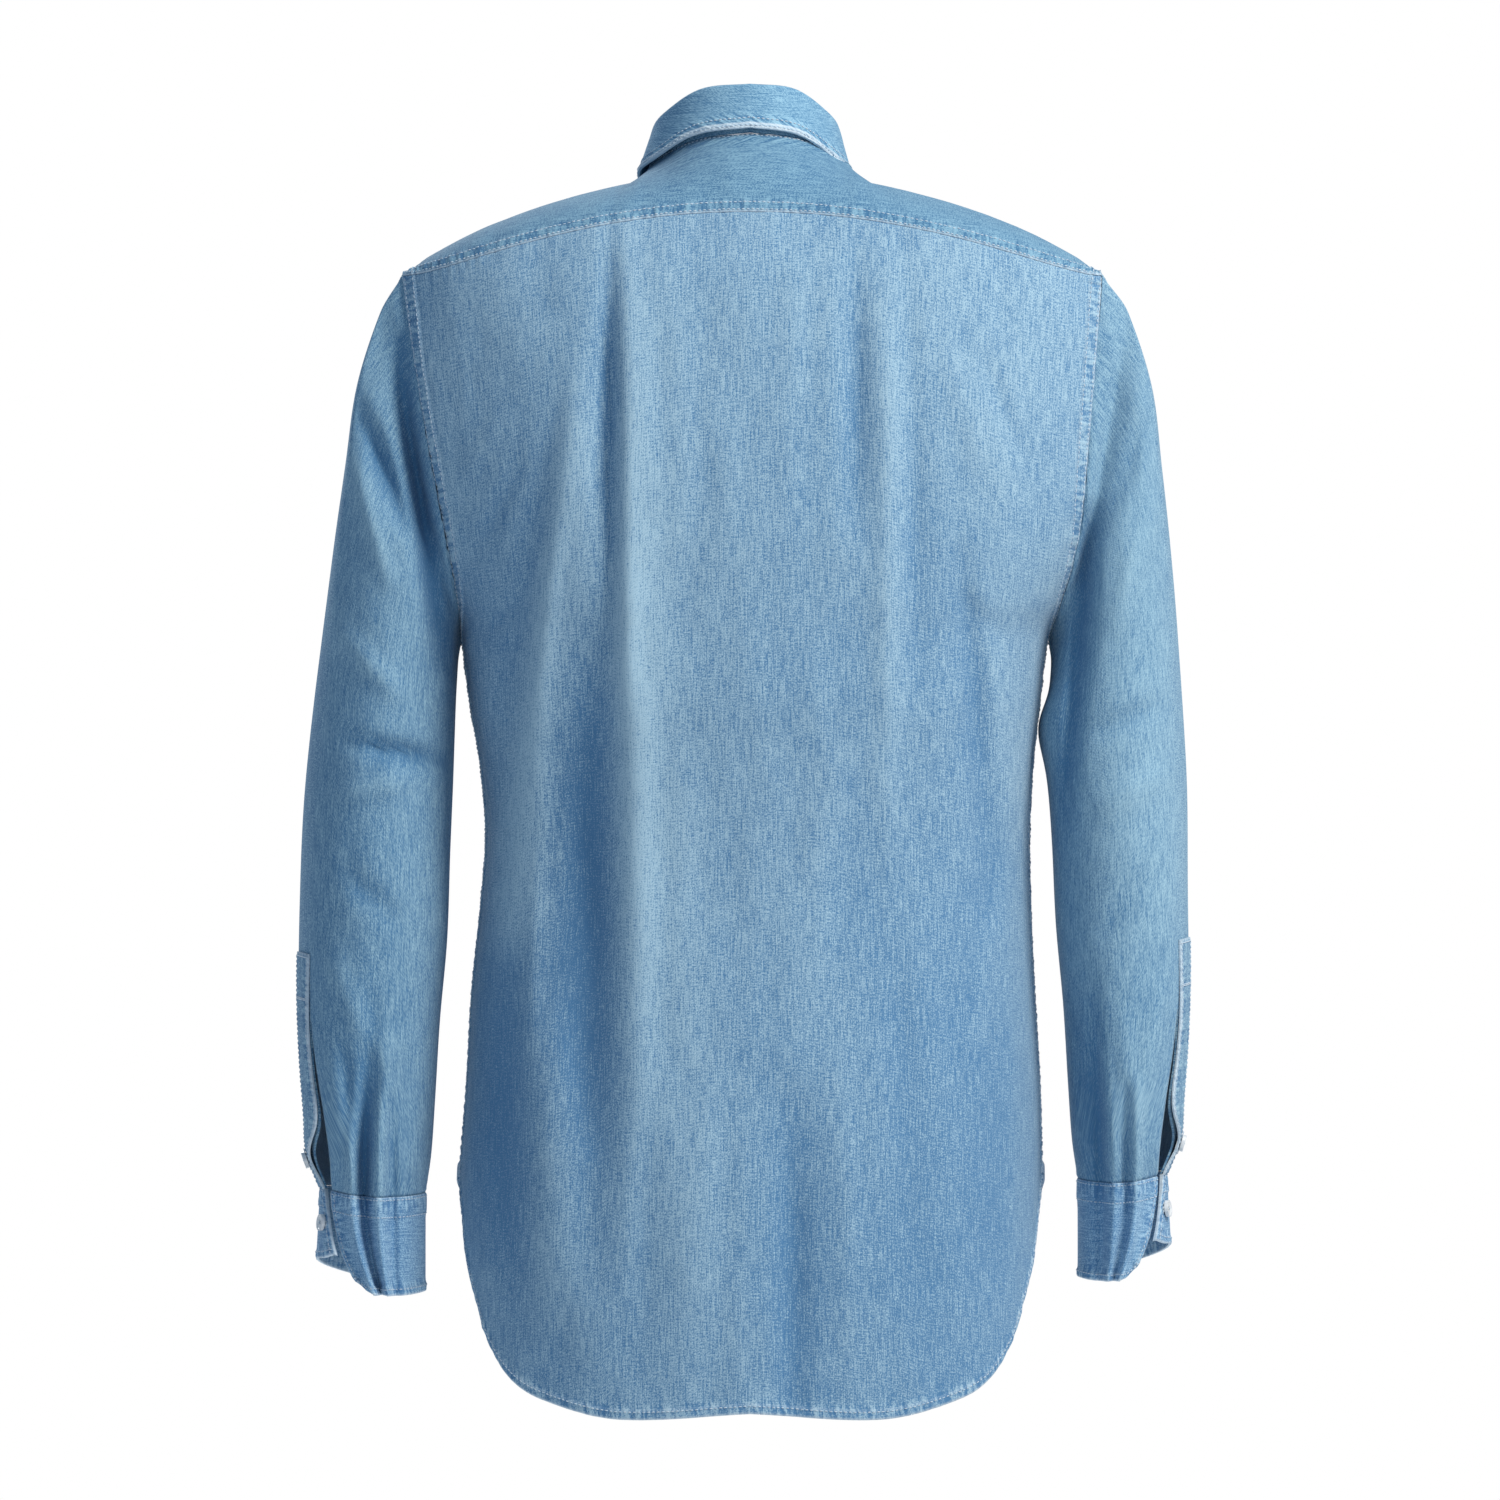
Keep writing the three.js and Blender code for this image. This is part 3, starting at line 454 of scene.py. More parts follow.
def build(piece, materials):
    """One closed sheet of cloth: an outer and an inner layer joined round the rim."""
    rows, columns = piece["grid"].shape[:2]
    j, i = np.meshgrid(np.arange(rows), np.arange(columns), indexing="ij")
    kept = np.where((i == columns - 1) & (j <= piece["ring"]), 0, i)
    place = j * columns + kept
    layer = rows * columns
    flat = j * columns + i
    outer, outer_uv = corners(place), corners(flat)
    inner, inner_uv = corners(place)[:, ::-1] + layer, corners(flat)[:, ::-1]
    rims, rims_uv = [], []

    def rim(near):
        line, line_uv = place[near], flat[near]
        rims.append(np.stack((line[1:], line[:-1], line[:-1] + layer, line[1:] + layer), axis=-1))
        rims_uv.append(np.stack((line_uv[1:], line_uv[:-1], line_uv[:-1], line_uv[1:]), axis=-1))

    first = max(piece["ring"], 0)
    rim((0, slice(None)))
    rim((rows - 1, slice(None, None, -1)))
    rim((slice(None, None, -1), 0) if first == 0 else (slice(rows - 1, first - 1, -1), 0))
    rim((slice(first, None), columns - 1))
    faces = np.concatenate([outer, inner] + rims)
    corner = np.concatenate([outer_uv, inner_uv] + rims_uv)
    if piece["side"] < 0:
        faces, corner = faces[:, ::-1], corner[:, ::-1]
    points = np.concatenate((piece["grid"].reshape(-1, 3), piece["inner"].reshape(-1, 3))) / 1000
    used = np.unique(faces)
    renumber = np.full(len(points), -1)
    renumber[used] = np.arange(len(used))
    mesh = bpy.data.meshes.new(piece["name"])
    mesh.from_pydata(points[used].tolist(), [], renumber[faces].tolist())
    uv = np.stack([part.reshape(-1) for part in piece["uv"]], axis=-1) / 1000
    mesh.uv_layers.new(name="cloth").data.foreach_set("uv", uv[corner.reshape(-1)].reshape(-1))
    for key in ("seam", "along", "wear", "fold"):
        values = np.tile(piece[key].reshape(-1), 2)[used].astype(np.float32)
        mesh.attributes.new(key, "FLOAT", "POINT").data.foreach_set("value", values)
    for material in materials:
        mesh.materials.append(material)
    inside = np.zeros(len(faces), np.int32)
    inside[len(outer) : len(outer) + len(inner)] = len(materials) - 1
    mesh.polygons.foreach_set("material_index", inside)
    soft = np.ones(len(faces), bool)
    soft[len(outer) + len(inner) :] = False
    mesh.polygons.foreach_set("use_smooth", soft)
    mesh.validate()
    thing = bpy.data.objects.new(piece["name"], mesh)
    bpy.context.scene.collection.objects.link(thing)
    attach(thing, "root")
    return thing


class Value:
    """A number from a node's socket, which Python's operators work on."""

    def __init__(self, wires, socket):
        self.wires, self.socket = wires, socket

    def maths(self, operation, first, second):
        return self.wires.add("ShaderNodeMath", {"operation": operation}, {0: first, 1: second})

    def __add__(self, other):
        return self.maths("ADD", self, other)

    def __radd__(self, other):
        return self.maths("ADD", other, self)

    def __sub__(self, other):
        return self.maths("SUBTRACT", self, other)

    def __mul__(self, other):
        return self.maths("MULTIPLY", self, other)

    def __rmul__(self, other):
        return self.maths("MULTIPLY", other, self)

    def between(self, low, high):
        """0 below low, 1 above high and smooth between them."""
        return self.wires.add(
            "ShaderNodeMapRange",
            {"interpolation_type": "SMOOTHSTEP"},
            {"Value": self, "From Min": low, "From Max": high},
        )


class Wires:
    """One material's nodes."""

    def __init__(self, name):
        self.material = bpy.data.materials.new(name)
        self.material.use_nodes = True
        self.material.node_tree.nodes.clear()

    def add(self, kind, settings=None, inputs=None, output=0):
        node = self.material.node_tree.nodes.new(kind)
        for key, value in (settings or {}).items():
            setattr(node, key, value)
        for key, value in (inputs or {}).items():
            if isinstance(value, Value):
                self.material.node_tree.links.new(value.socket, node.inputs[key])
            else:
                node.inputs[key].default_value = value
        return Value(self, node.outputs[output]) if len(node.outputs) else node

    def mix(self, share, first, second):
        inputs = {0: share, 6: first, 7: second}
        return self.add("ShaderNodeMix", {"data_type": "RGBA"}, inputs, 2)

    def noise(self, place, stretch, detail=2.0, roughness=0.5):
        scaled = self.add("ShaderNodeVectorMath", {"operation": "MULTIPLY"}, {0: place, 1: stretch})
        inputs = {"Vector": scaled, "Scale": 1.0, "Detail": detail, "Roughness": roughness}
        return self.add("ShaderNodeTexNoise", {}, inputs)

    def finish(self, shader_inputs):
        shader = self.add("ShaderNodeBsdfPrincipled", {}, shader_inputs)
        self.add("ShaderNodeOutputMaterial", {}, {"Surface": shader})
        return self.material


def linear(red, green, blue):
    """A colour as it is seen on a screen, from 0 to 255, as the shader's linear one."""
    parts = np.array((red, green, blue)) / 255
    parts = np.where(parts <= 0.04045, parts / 12.92, ((parts + 0.055) / 1.055) ** 2.4)
    return (*parts.tolist(), 1.0)


# The marks in the cloth: how many there are in a metre across and along the warp, their
# detail and roughness, and what they add to the tone and to the height.
MARKS = [
    ((1020, 58, 1), 2.0, 0.7, 3.2, 0.6),
    ((150, 1400, 1), 2.0, 0.6, 2.2, 0.3),
    ((1250, 900, 1), 1.0, 0.6, 3.9, 0),
    ((20, 11, 1), 2.0, 0.5, 0.45, 0),
    ((130, 60, 1), 2.0, 0.6, 0.12, 0.35),
]
TWILL, TWILL_HEIGHT = (7400, 7400, 1), 0.08
# How much the fold value moves the tone: worn ridges paler, painted shade in the troughs.
FOLD_WEAR_AND_SHADE_TONE = 0.075
SEAM_BAND = (12.0, 6.5)
RIPPLE_ALONG, RIPPLE_ASIDE, RIPPLE_TONE, RIPPLE_HEIGHT = 0.34, 0.09, 4.6, 1.6
FRAYED = linear(206, 220, 229)


def denim(name, dark, middle, pale, worn=1.0):
    """Washed denim: indigo warp slubs over a white weft, paler on seam edges and on worn fold ridges,
    darker in fold troughs as painted shade, lighter and darker in the painted light and shade zones,
    with a pale and dark ripple beside each row of stitches."""
    wires = Wires(name)
    place = wires.add("ShaderNodeUVMap", {"uv_map": "cloth"})
    seam, along, wear, fold = (
        wires.add("ShaderNodeAttribute", {"attribute_name": key}, output=2)
        for key in ("seam", "along", "wear", "fold")
    )
    band = seam.between(*SEAM_BAND)
    ripple = {0: along * RIPPLE_ALONG, 1: seam * RIPPLE_ASIDE}
    ripple = wires.noise(wires.add("ShaderNodeCombineXYZ", {}, ripple), (1, 1, 1), 1.0, 0.5)
    # Fold ridges come out paler from wear and fold troughs darker as painted shade; the painted shade
    # and light zones come in through the fold value too.
    tone = fold * FOLD_WEAR_AND_SHADE_TONE + band * (ripple - 0.5) * RIPPLE_TONE * worn
    height = band * ripple * RIPPLE_HEIGHT * worn
    for stretch, detail, roughness, tint, high in MARKS:
        mark = wires.noise(place, stretch, detail, roughness)
        tone = tone + (mark - 0.5) * tint
        if high:
            height = height + mark * high
    colour = wires.mix(tone.between(-1.0, 1.0), dark, pale)
    colour = wires.mix(0.18, colour, middle)
    frayed = (wear * (0.35 + 1.3 * ripple)).between(0.1, 1.1)
    colour = wires.mix(frayed * 0.9, colour, FRAYED)
    threads = {0: place, 1: TWILL}
    threads = wires.add("ShaderNodeVectorMath", {"operation": "MULTIPLY"}, threads)
    across = wires.add("ShaderNodeSeparateXYZ", {}, {0: threads}, 0)
    upward = wires.add("ShaderNodeSeparateXYZ", {}, {0: threads}, 1)
    twill = wires.add("ShaderNodeMath", {"operation": "SINE"}, {0: across + upward * 0.5})
    height = height + twill * TWILL_HEIGHT
    bump = wires.add("ShaderNodeBump", {}, {"Strength": 0.6, "Distance": 0.0006, "Height": height})
    return wires.finish(
        {
            "Base Color": colour,
            "Normal": bump,
            "Roughness": 0.93,
            "Specular IOR Level": 0.15,
            "Sheen Weight": 0.1,
            "Sheen Roughness": 0.6,
        }
    )


body_denim = denim(
    "denim of the body", linear(66, 115, 159), linear(119, 162, 189), linear(172, 200, 214)
)
reverse_denim = denim(
    "reverse of the denim", linear(128, 155, 178), linear(158, 183, 202), linear(188, 207, 220), 0.3
)
BACK_COLUMNS = 196
back_columns = 2 * closer(BACK_COLUMNS) - 1
back = cloth_piece(
    "shirt_back",
    panel(back_point, yoke_seam, back_hem, back_columns, 84, 128),
    1,
    middle=BACK_COLUMNS // 2,
    edges=[
        ("top", 0.0, 4, 0.35, 0.1),
        ("start", 0.7, 10, 0.5, 0.8),
        ("end", 0.7, 10, 0.5, 0.8),
        ("bottom", 0.6, 6, 0.45, 1.0),
    ],
)
thing = build(back, [body_denim, reverse_denim])
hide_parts("back")

# The two fronts button down the middle, the left one over the right. Each has a placket
# band turned under at its edge, and the same armhole, side seam and hem as the back.
LAYER = 2.1
LAP = 0.055
FRONT_HEM = 0.82
NECK_U = 0.22
NECK_Z = -11
NECK_DROP = -75
TUCK_ENDS = 0.165
TUCK_FADE = 0.09
FRONT = [
    (-11, 213, 216, -30, -36.5, 62),
    (-52, 213, 216, -33, -62, 62),
    (-72, 213, 216, -36, -74, 62),
    (-110, 206, 212, -52, -100, 62),
    (-165, 197, 206, -59, -122, 64),
    (-225, 188, 200, -52, -133, 69),
    (-268, 181, 193, -30, -136, 79),
] + [(z, left, right, 0, front, 90) for z, left, right, back, front in BODY]
front_at = curve_through(FRONT)


def front_point(u, z):
    return section_point(front_at, u, z)


def front_top(u):
    reach = np.abs(u)
    neck = lerp(NECK_DROP, NECK_Z, np.clip(reach / NECK_U, 0, 1) ** 2.2)
    shoulder = lerp(NECK_Z, -70, np.clip((reach - NECK_U) / (1 - NECK_U), 0, 1) ** 1.1)
    return np.where(reach < NECK_U, neck, shoulder)


def front_hem(u):
    return lerp(SIDE_HEM, back_hem(u), FRONT_HEM)


def tucked_under(side, u):
    """Near the centre front the right side lies one layer further in than the left."""
    return (LAYER * smooth((TUCK_ENDS - u) / TUCK_FADE)) if side < 0 else 0 * u


fronts = {}
for name, side in (("left", 1), ("right", -1)):
    reach = np.concatenate((lerp(-LAP, 0.12, closer(30)), lerp(0.12, 1, closer(84, (0, 1)))[1:]))
    grid = panel(lambda u, z: front_point(side * u, z), front_top, front_hem, reach, 66, 104)
    grid[..., 1] += tucked_under(side, reach)
    front = cloth_piece(
        "shirt_front_" + name,
        grid,
        -side,
        [
            ("top", 0.0, 4, 0.3, 0.1),
            ("end", 0.7, 10, 0.45, 0.4),
            ("bottom", 0.6, 6, 0.45, 0.9),
            ("start", 0.5, 30, 0.12, 0.6),
        ],
    )
    fronts[name] = front
    thing = build(front, [body_denim, reverse_denim])
    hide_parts("front_" + name)

# The yoke is cut across the cloth, so its grain runs from shoulder to shoulder. It is
# double, turned under at the back seam and topstitched there.
YOKE = [
    (0, 18, 3),
    (0.6, 24, 9),
    (1, 28, 19),
    (1.5, 24, 16),
    (2, 8, 6),
]
TIP_DROP, TIP_FROM = 3.5, 1.82
BELOW_SEAM = 5
NECK_SHARE = 0.32
NECK_ANGLE = 115
NECK_WIDE, NECK_BACK, NECK_FRONT, NECK_FORWARD = 62, 60, 67, -8
NECK_HEIGHT = [(0, 22), (30, 18.5), (60, 9), (90, 0), (115, -11)]
yoke_at, neck_height_at = curve_through(YOKE), curve_through(NECK_HEIGHT)


def neck_seam(side, s):
    """The neck seam from the middle back (0) past the shoulder (1) to the front (2)."""
    s = np.asarray(s, float)

    def round_neck(angle):
        turned = np.radians(angle)
        depth = np.where(angle < 90, NECK_BACK, NECK_FRONT)
        x, y = side * NECK_WIDE * np.sin(turned), NECK_FORWARD + depth * np.cos(turned)
        return np.stack((x, y, neck_height_at(angle)[0]), axis=-1)

    shift = front_point(side * NECK_U, NECK_Z) - round_neck(np.array(float(NECK_ANGLE)))
    reach = np.clip(s, 0, 1)
    upper = round_neck(NECK_ANGLE * reach) + shift * (reach**2)[..., None]
    u = NECK_U * (2 - s)
    return np.where((s > 1)[..., None], front_point(side * u, front_top(u)), upper)


def yoke_point(side, w, s):
    """w runs from the middle of the back past the neck to the armhole, and s from the
    back seam to the neck or the front seam."""
    w, s = np.broadcast_arrays(np.asarray(w, float), np.asarray(s, float))
    u = side * np.where(w < 1, NECK_SHARE * w, lerp(NECK_SHARE, 1, w - 1))
    back_edge, under = back_point(u, yoke_seam(u)), back_point(u, yoke_seam(u) - BELOW_SEAM)
    ahead = side * lerp(NECK_U, 1, np.maximum(w - 1, 0))
    neck, front_edge = neck_seam(side, np.minimum(w, 1)), front_point(ahead, front_top(ahead))
    end = np.where((w < 1)[..., None], neck, front_edge)
    rise, lift = yoke_at(w)
    along = back_edge - under
    along /= np.linalg.norm(along, axis=-1, keepdims=True)
    first = back_edge + along * rise[..., None]
    second = lerp(end, back_edge, 1 / 3)
    second[..., 2] += lift
    tip = TIP_DROP * smooth((w - TIP_FROM) / (2 - TIP_FROM)) * np.sin(np.pi * s)
    s = s[..., None]
    point = back_edge * (1 - s) ** 3 + 3 * first * s * (1 - s) ** 2
    point = point + 3 * second * s * s * (1 - s) + end * s**3
    point[..., 2] -= tip
    return point


yoke_columns = 2 * (2 * closer(220) - 1)
yoke_rows = 1 - closer(46)[:, None]
right_half = yoke_point(-1, np.abs(yoke_columns), yoke_rows)
left_half = yoke_point(1, np.abs(yoke_columns), yoke_rows)
yoke_grid = np.where((yoke_columns < 0)[None, :, None], right_half, left_half)
yoke_denim = denim(
    "denim of the yoke", linear(56, 104, 144), linear(94, 141, 171), linear(138, 177, 197)
)
yoke = cloth_piece(
    "shirt_yoke",
    yoke_grid,
    1,
    [
        ("bottom", 0.4, 7, 0.5, 0.8),
        ("top", 0.4, 5, 0.3, 0.3),
        ("start", 0.7, 9, 0.45, 0.4),
        ("end", 0.7, 9, 0.45, 0.4),
    ],
    warp_across=True,
)
thing = build(yoke, [yoke_denim, reverse_denim])
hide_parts("yoke")

# Each sleeve is one tube of denim. Its head is sewn under the edge of the body and it
# is left open above the cuff, in a slit from the back.
# Share of the length, inner and outer ends of the ring, and reach back and forward.
SLEEVE = [
    (0, 180, -290, 216, -61, 54, -58),
    (0.05, 181.5, -297, 229, -86, 56, -60),
    (0.12, 182.5, -304, 243.5, -131, 58, -61),
    (0.2, 183, -314, 251, -180, 60, -62),
    (0.28, 183.5, -328, 258.5, -229, 61, -63),
    (0.36, 184, -348, 265, -279, 62, -64),
    (0.45, 185, -380, 270, -329, 62, -65),
    (0.55, 187, -425, 274.5, -390, 61, -65),
    (0.66, 189, -478, 276, -455, 59, -64),
    (0.76, 193.5, -528, 276.5, -515, 57, -62),
    (0.86, 196.5, -577, 274, -571, 54, -59),
    (0.94, 199, -613, 270.5, -609, 50, -55),
    (1, 202.5, -637, 262.5, -633, 44, -48),
]
# The arms hang unevenly: how much further out and up each sleeve lies below the elbow.
HANG_OUT, HANG_UP, HANG_FROM, HANG_OVER = {1: 2, -1: -1}, {1: 0, -1: 9}, 0.3, 0.4
# The head stands full outside, the inner side lies on the body for a way, the lower end
# hangs round, and the left sleeve is a little wider. The armhole's form fades out below.
HEAD_FULL, HEAD_RISE, HEAD_TO, HEAD_OVER = {1: 2, -1: 4.5}, 0.05, 0.12, 0.3
LIE_IN, LIE_AT, LIE_OVER = {1: 0, -1: 6}, 0.36, 0.07
END_ROUND, END_FROM, END_LEVEL = 3.5, 0.85, 0.4
WIDER = {1: 2.5, -1: -2.5}
KEEP_FROM, KEEP_OVER = 0.08, 0.42
SLIT = [(0.78, 35, 35), (0.84, 42, 37), (0.9, 49, 42), (0.95, 50, 25), (1, 39, 27)]
SLIT_TOP = 0.78
FRONT_SEAM_ANGLE = 330
TUCK_DEEP, TUCK_AT, TUCK_WIDE = 9, 0.055, 0.04
BACK_END, FRONT_END, RING_END = 12, 22, 27
sleeve_at, slit_at = curve_through(SLEEVE), curve_through(SLIT)


def armhole_share(t):
    return (t + np.sin(np.pi / 2 * t)) / 2


def armhole(side, c):
    """The armhole loop: down the back, up the front and over the yoke."""
    rear, ahead = np.clip(c / BACK_END, 0, 1), np.clip((c - BACK_END) / (FRONT_END - BACK_END), 0, 1)
    over = np.clip((c - FRONT_END) / (RING_END - FRONT_END), 0, 1)
    down = back_point(side, lerp(YOKE_EDGE, UNDERARM, armhole_share(rear)))
    up = front_point(side, lerp(front_top(1), UNDERARM, armhole_share(1 - ahead)))
    top = yoke_point(side, 2, 1 - over)
    return np.where((c <= BACK_END)[:, None], down, np.where((c <= FRONT_END)[:, None], up, top))


def sleeve_angle(t, c):
    """The angle of each column, from the slit round the inside to the slit again."""
    back, lap = slit_at(t)
    rear = lerp(back, 180, np.clip(c / BACK_END, 0, 1))
    ahead = lerp(180, FRONT_SEAM_ANGLE, (c - BACK_END) / (FRONT_END - BACK_END))
    over = lerp(FRONT_SEAM_ANGLE, 360 + lap, (c - FRONT_END) / (RING_END - FRONT_END))
    return np.where(c <= BACK_END, rear, np.where(c <= FRONT_END, ahead, over))


def sleeve_ring(side, t, angle):
    in_x, in_z, out_x, out_z, back, front = sleeve_at(t)
    cos, sin = np.cos(np.radians(angle)), np.sin(np.radians(angle))
    hang = smooth((t - HANG_FROM) / HANG_OVER)
    head = smooth(t / HEAD_RISE) * (1 - smooth((t - HEAD_TO) / HEAD_OVER))
    inner = np.exp(-(((t - LIE_AT) / LIE_OVER) ** 2))
    x = lerp(in_x, out_x, (1 + cos) / 2) + HANG_OUT[side] * hang
    x = x + HEAD_FULL[side] * head * np.maximum(cos, 0)
    x = x - LIE_IN[side] * inner * np.maximum(-cos, 0) ** 2 + WIDER[side] * hang * cos
    z = lerp(in_z, out_z, (1 + cos) / 2) + HANG_UP[side] * hang
    low = END_ROUND * smooth((t - END_FROM) / (1 - END_FROM))
    z = z - low * (np.maximum(sin, 0) ** 2 - END_LEVEL)
    return np.stack((side * x, np.where(sin > 0, back * sin, -front * sin), z), axis=-1)


def sleeve_grid(side, places, c):
    t, c = np.broadcast_arrays(places[:, None], c[None, :])
    angle = sleeve_angle(t, c)
    start = sleeve_ring(side, 0 * t, sleeve_angle(0 * t, c))
    loop = armhole(side, c[0])[None]
    keep = 1 - smooth((t - KEEP_FROM) / KEEP_OVER)
    dip = TUCK_DEEP * np.exp(-(((t - TUCK_AT) / TUCK_WIDE) ** 2)) * smooth(t / TUCK_AT)
    point = sleeve_ring(side, t, angle) + (loop - start) * keep[..., None]
    point[..., 1] -= dip * np.maximum(0, np.sin(np.radians(angle))) ** 2
    return np.where((t == 0)[..., None], loop, folded(point))


SLIT_ROW = 108
runs = [(0, BACK_END, 61), (BACK_END, FRONT_END, 49), (FRONT_END, RING_END, 27)]
ring_columns = np.concatenate([[0]] + [np.linspace(*run)[1:] for run in runs])
above_slit = SLIT_TOP * closer(SLIT_ROW, (1, 0))
sleeve_places = np.concatenate((above_slit, np.linspace(SLIT_TOP, 1, 44)[1:]))
sleeve_denim = denim(
    "denim of the sleeves", linear(60, 109, 151), linear(110, 155, 183), linear(163, 196, 210)
)
sleeves = {}
for name, side in (("left", 1), ("right", -1)):
    sleeve = cloth_piece(
        "shirt_sleeve_" + name,
        sleeve_grid(side, sleeve_places, ring_columns),
        -side,
        [("top", 0.0, 4, 0.5, 0.0), ("bottom", 0.0, 5, 0.5, 0.0)],
        ring=SLIT_ROW,
        middle=30,
    )
    sleeves[name] = sleeve
    thing = build(sleeve, [sleeve_denim, reverse_denim])
    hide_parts("sleeve_" + name)

# A strip of denim binds the front edge of each slit. Its free edge has worn wavy.
PLACKET_THICK = 1.2
PLACKET_CURL = 2.5
PLACKET_PLACES = [0.71, 0.78, 0.84, 0.9, 0.95, 1]
plackets = {}
for name, side in (("left", 1), ("right", -1)):
    places = np.linspace(PLACKET_PLACES[0], 1, 64)
    columns = np.linspace(RING_END - 2, RING_END, 13)
    under = sleeve_grid(side, places, columns)
    row = np.interp(places, PLACKET_PLACES, range(6))[:, None]
    share = np.linspace(0, 1, 13)[None, :]
    curl = PLACKET_CURL * share * smooth(row / 3) * (1 + np.sin(row * 2.2))
    grid = under + outward(under, -side) * (0.3 + PLACKET_THICK + curl / 2)[..., None]
    placket = cloth_piece(
        "shirt_placket_" + name,
        grid,
        -side,
        [("end", 0.3, 2, 0.25, 1.0), ("start", 0.3, 2, 0.1, 0.6), ("top", 0.3, 2, 0.1, 0.7)],
        wall=PLACKET_THICK,
    )
    plackets[name] = placket
    thing = build(placket, [sleeve_denim])
    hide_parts("placket_" + name)
    "sleeve_" + name

# The cuffs are two layers of denim cut across the cloth, closed with one button. Both
# ends stand away from the wrist a little and their corners are rounded off.
CUFF_HEIGHT, CUFF_BACK_END, CUFF_FLAP_END = 57, 33, 27
CUFF_FLAP_RISE, CUFF_FLAP_STAND, CUFF_SLANT, CUFF_ROUND = 13, 5, 4, 3
CUFF_OPENS, CUFF_CORNER, CUFF_CORNER_WIDE = 0.3 * RING_END, 5, 1.1
cuff_denim = denim(
    "denim of the cuffs", linear(67, 116, 162), linear(118, 163, 198), linear(166, 200, 220)
)
cuffs = {}
for name, side in (("left", 1), ("right", -1)):
    places, c = np.broadcast_arrays(closer(34)[:, None], np.linspace(0, RING_END, 141)[None, :])
    angle = sleeve_angle(np.ones_like(c), c)
    from_back, from_lap = 1 - smooth(c / CUFF_OPENS), 1 - smooth((RING_END - c) / CUFF_OPENS)
    turned = angle + CUFF_BACK_END * places**2 * from_back + CUFF_FLAP_END * places * from_lap
    whole = np.ones_like(c)
    grid = sleeve_grid(side, np.ones(1), c[0])[0][None] + (
        sleeve_ring(side, whole, turned) - sleeve_ring(side, whole, angle)
    )
    cos, sin = np.cos(np.radians(turned)), np.sin(np.radians(turned))
    out = np.stack((side * cos, sin, 0 * cos), axis=-1)
    grid = grid + out * (CUFF_FLAP_STAND * from_lap * places)[..., None]
    corner = np.exp(-((c / CUFF_CORNER_WIDE) ** 2))
    corner = corner + np.exp(-(((RING_END - c) / CUFF_CORNER_WIDE) ** 2))
    height = CUFF_HEIGHT - CUFF_FLAP_RISE * from_lap - CUFF_SLANT * cos
    height = height + CUFF_ROUND * np.maximum(sin, 0) ** 2 - CUFF_CORNER * corner * places**3
    grid[..., 2] -= height * places
    cuff = cloth_piece(
        "shirt_cuff_" + name,
        grid,
        -side,
        [
            ("top", 0.5, 13, 0.4, 0.5),
            ("bottom", 0.4, 5, 0.35, 0.9),
            ("start", 0.4, 5, 0.25, 0.8),
            ("end", 0.4, 5, 0.25, 1.0),
        ],
        wall=1.5,
        warp_across=True,
    )
    cuffs[name] = cuff
    thing = build(cuff, [cuff_denim])
    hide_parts("cuff_" + name)
    "sleeve_" + name

# The collar is a stand round the neck with a leaf that turns down over it. Its edge has
# worn nearly white, with two rows of stitches inside it.
# Place, height of the stand, and the leaf's length, tilt and sweep.
COLLAR = [
    (0, 24, 28, 17, 0),
    (0.27, 25, 30, 18, 0),
    (0.52, 22, 33, 20, 0),
    (0.78, 20, 29, 19, 0.02),
    (1, 22, 31, 21, 0.08),
    (1.4, 27, 50, 29, 0.3),
    (2, 29, 74, 28, 0.5),
]
STAND_LEAN = 0.16
DRAWN_IN, DRAWN_HEIGHT, DRAWN_FRONT = 0.09, 18, 45
LEAF_LOW, LEAF_FOLD, LEAF_TOP, LEAF_OUT, LEAF_IN = 4, 6, 6.2, 1.9, 0.5
LEAF_END = 0.65
LAST_LEAF = 1.75
LAP_END = 2 + LAP / NECK_U
SEAM = 0.3
SOLID_WALL = 1.5
collar_at = curve_through(COLLAR)


def collar_frame(s):
    """The neck seam at a place of the collar, and the directions away and forward."""
    s = np.asarray(s, float)
    reach = np.abs(s)
    sides = np.where(s < 0, -1, 1)
    both = lambda values: np.where((s < 0)[..., None], neck_seam(-1, values), neck_seam(1, values))
    ahead = both(np.minimum(reach + 0.05, LAP_END)) - both(np.maximum(reach - 0.05, 0))
    away = np.stack((-sides * ahead[..., 1], sides * ahead[..., 0], 0 * reach), axis=-1)
    away /= np.linalg.norm(away, axis=-1, keepdims=True)
    away = np.where((reach < 0.05)[..., None], np.array((0.0, 1.0, 0.0)), away)
    under = np.where(s < 0, tucked_under(-1, NECK_U * (2 - reach)), 0)
    base = both(reach) - away * under[..., None]
    ahead /= np.linalg.norm(ahead, axis=-1, keepdims=True)
    return base, away, under, ahead, collar_at(np.minimum(reach, 2))


def collar_point(s, out, up):
    base, away, *_ = collar_frame(s)
    point = base + away * np.asarray(out - STAND_LEAN * up)[..., None]
    point[..., 2] += up
    return drawn_in(point, smooth(up / DRAWN_HEIGHT))


def drawn_in(point, share):
    """The collar sits a little closer to the neck on the wearer's right."""
    x, y = point[..., 0], point[..., 1]
    point = point.copy()
    nearer = DRAWN_IN * share * smooth((y + DRAWN_FRONT) / DRAWN_FRONT)
    point[..., 0] = x * np.where(x < 0, 1 - nearer, 1)
    return point


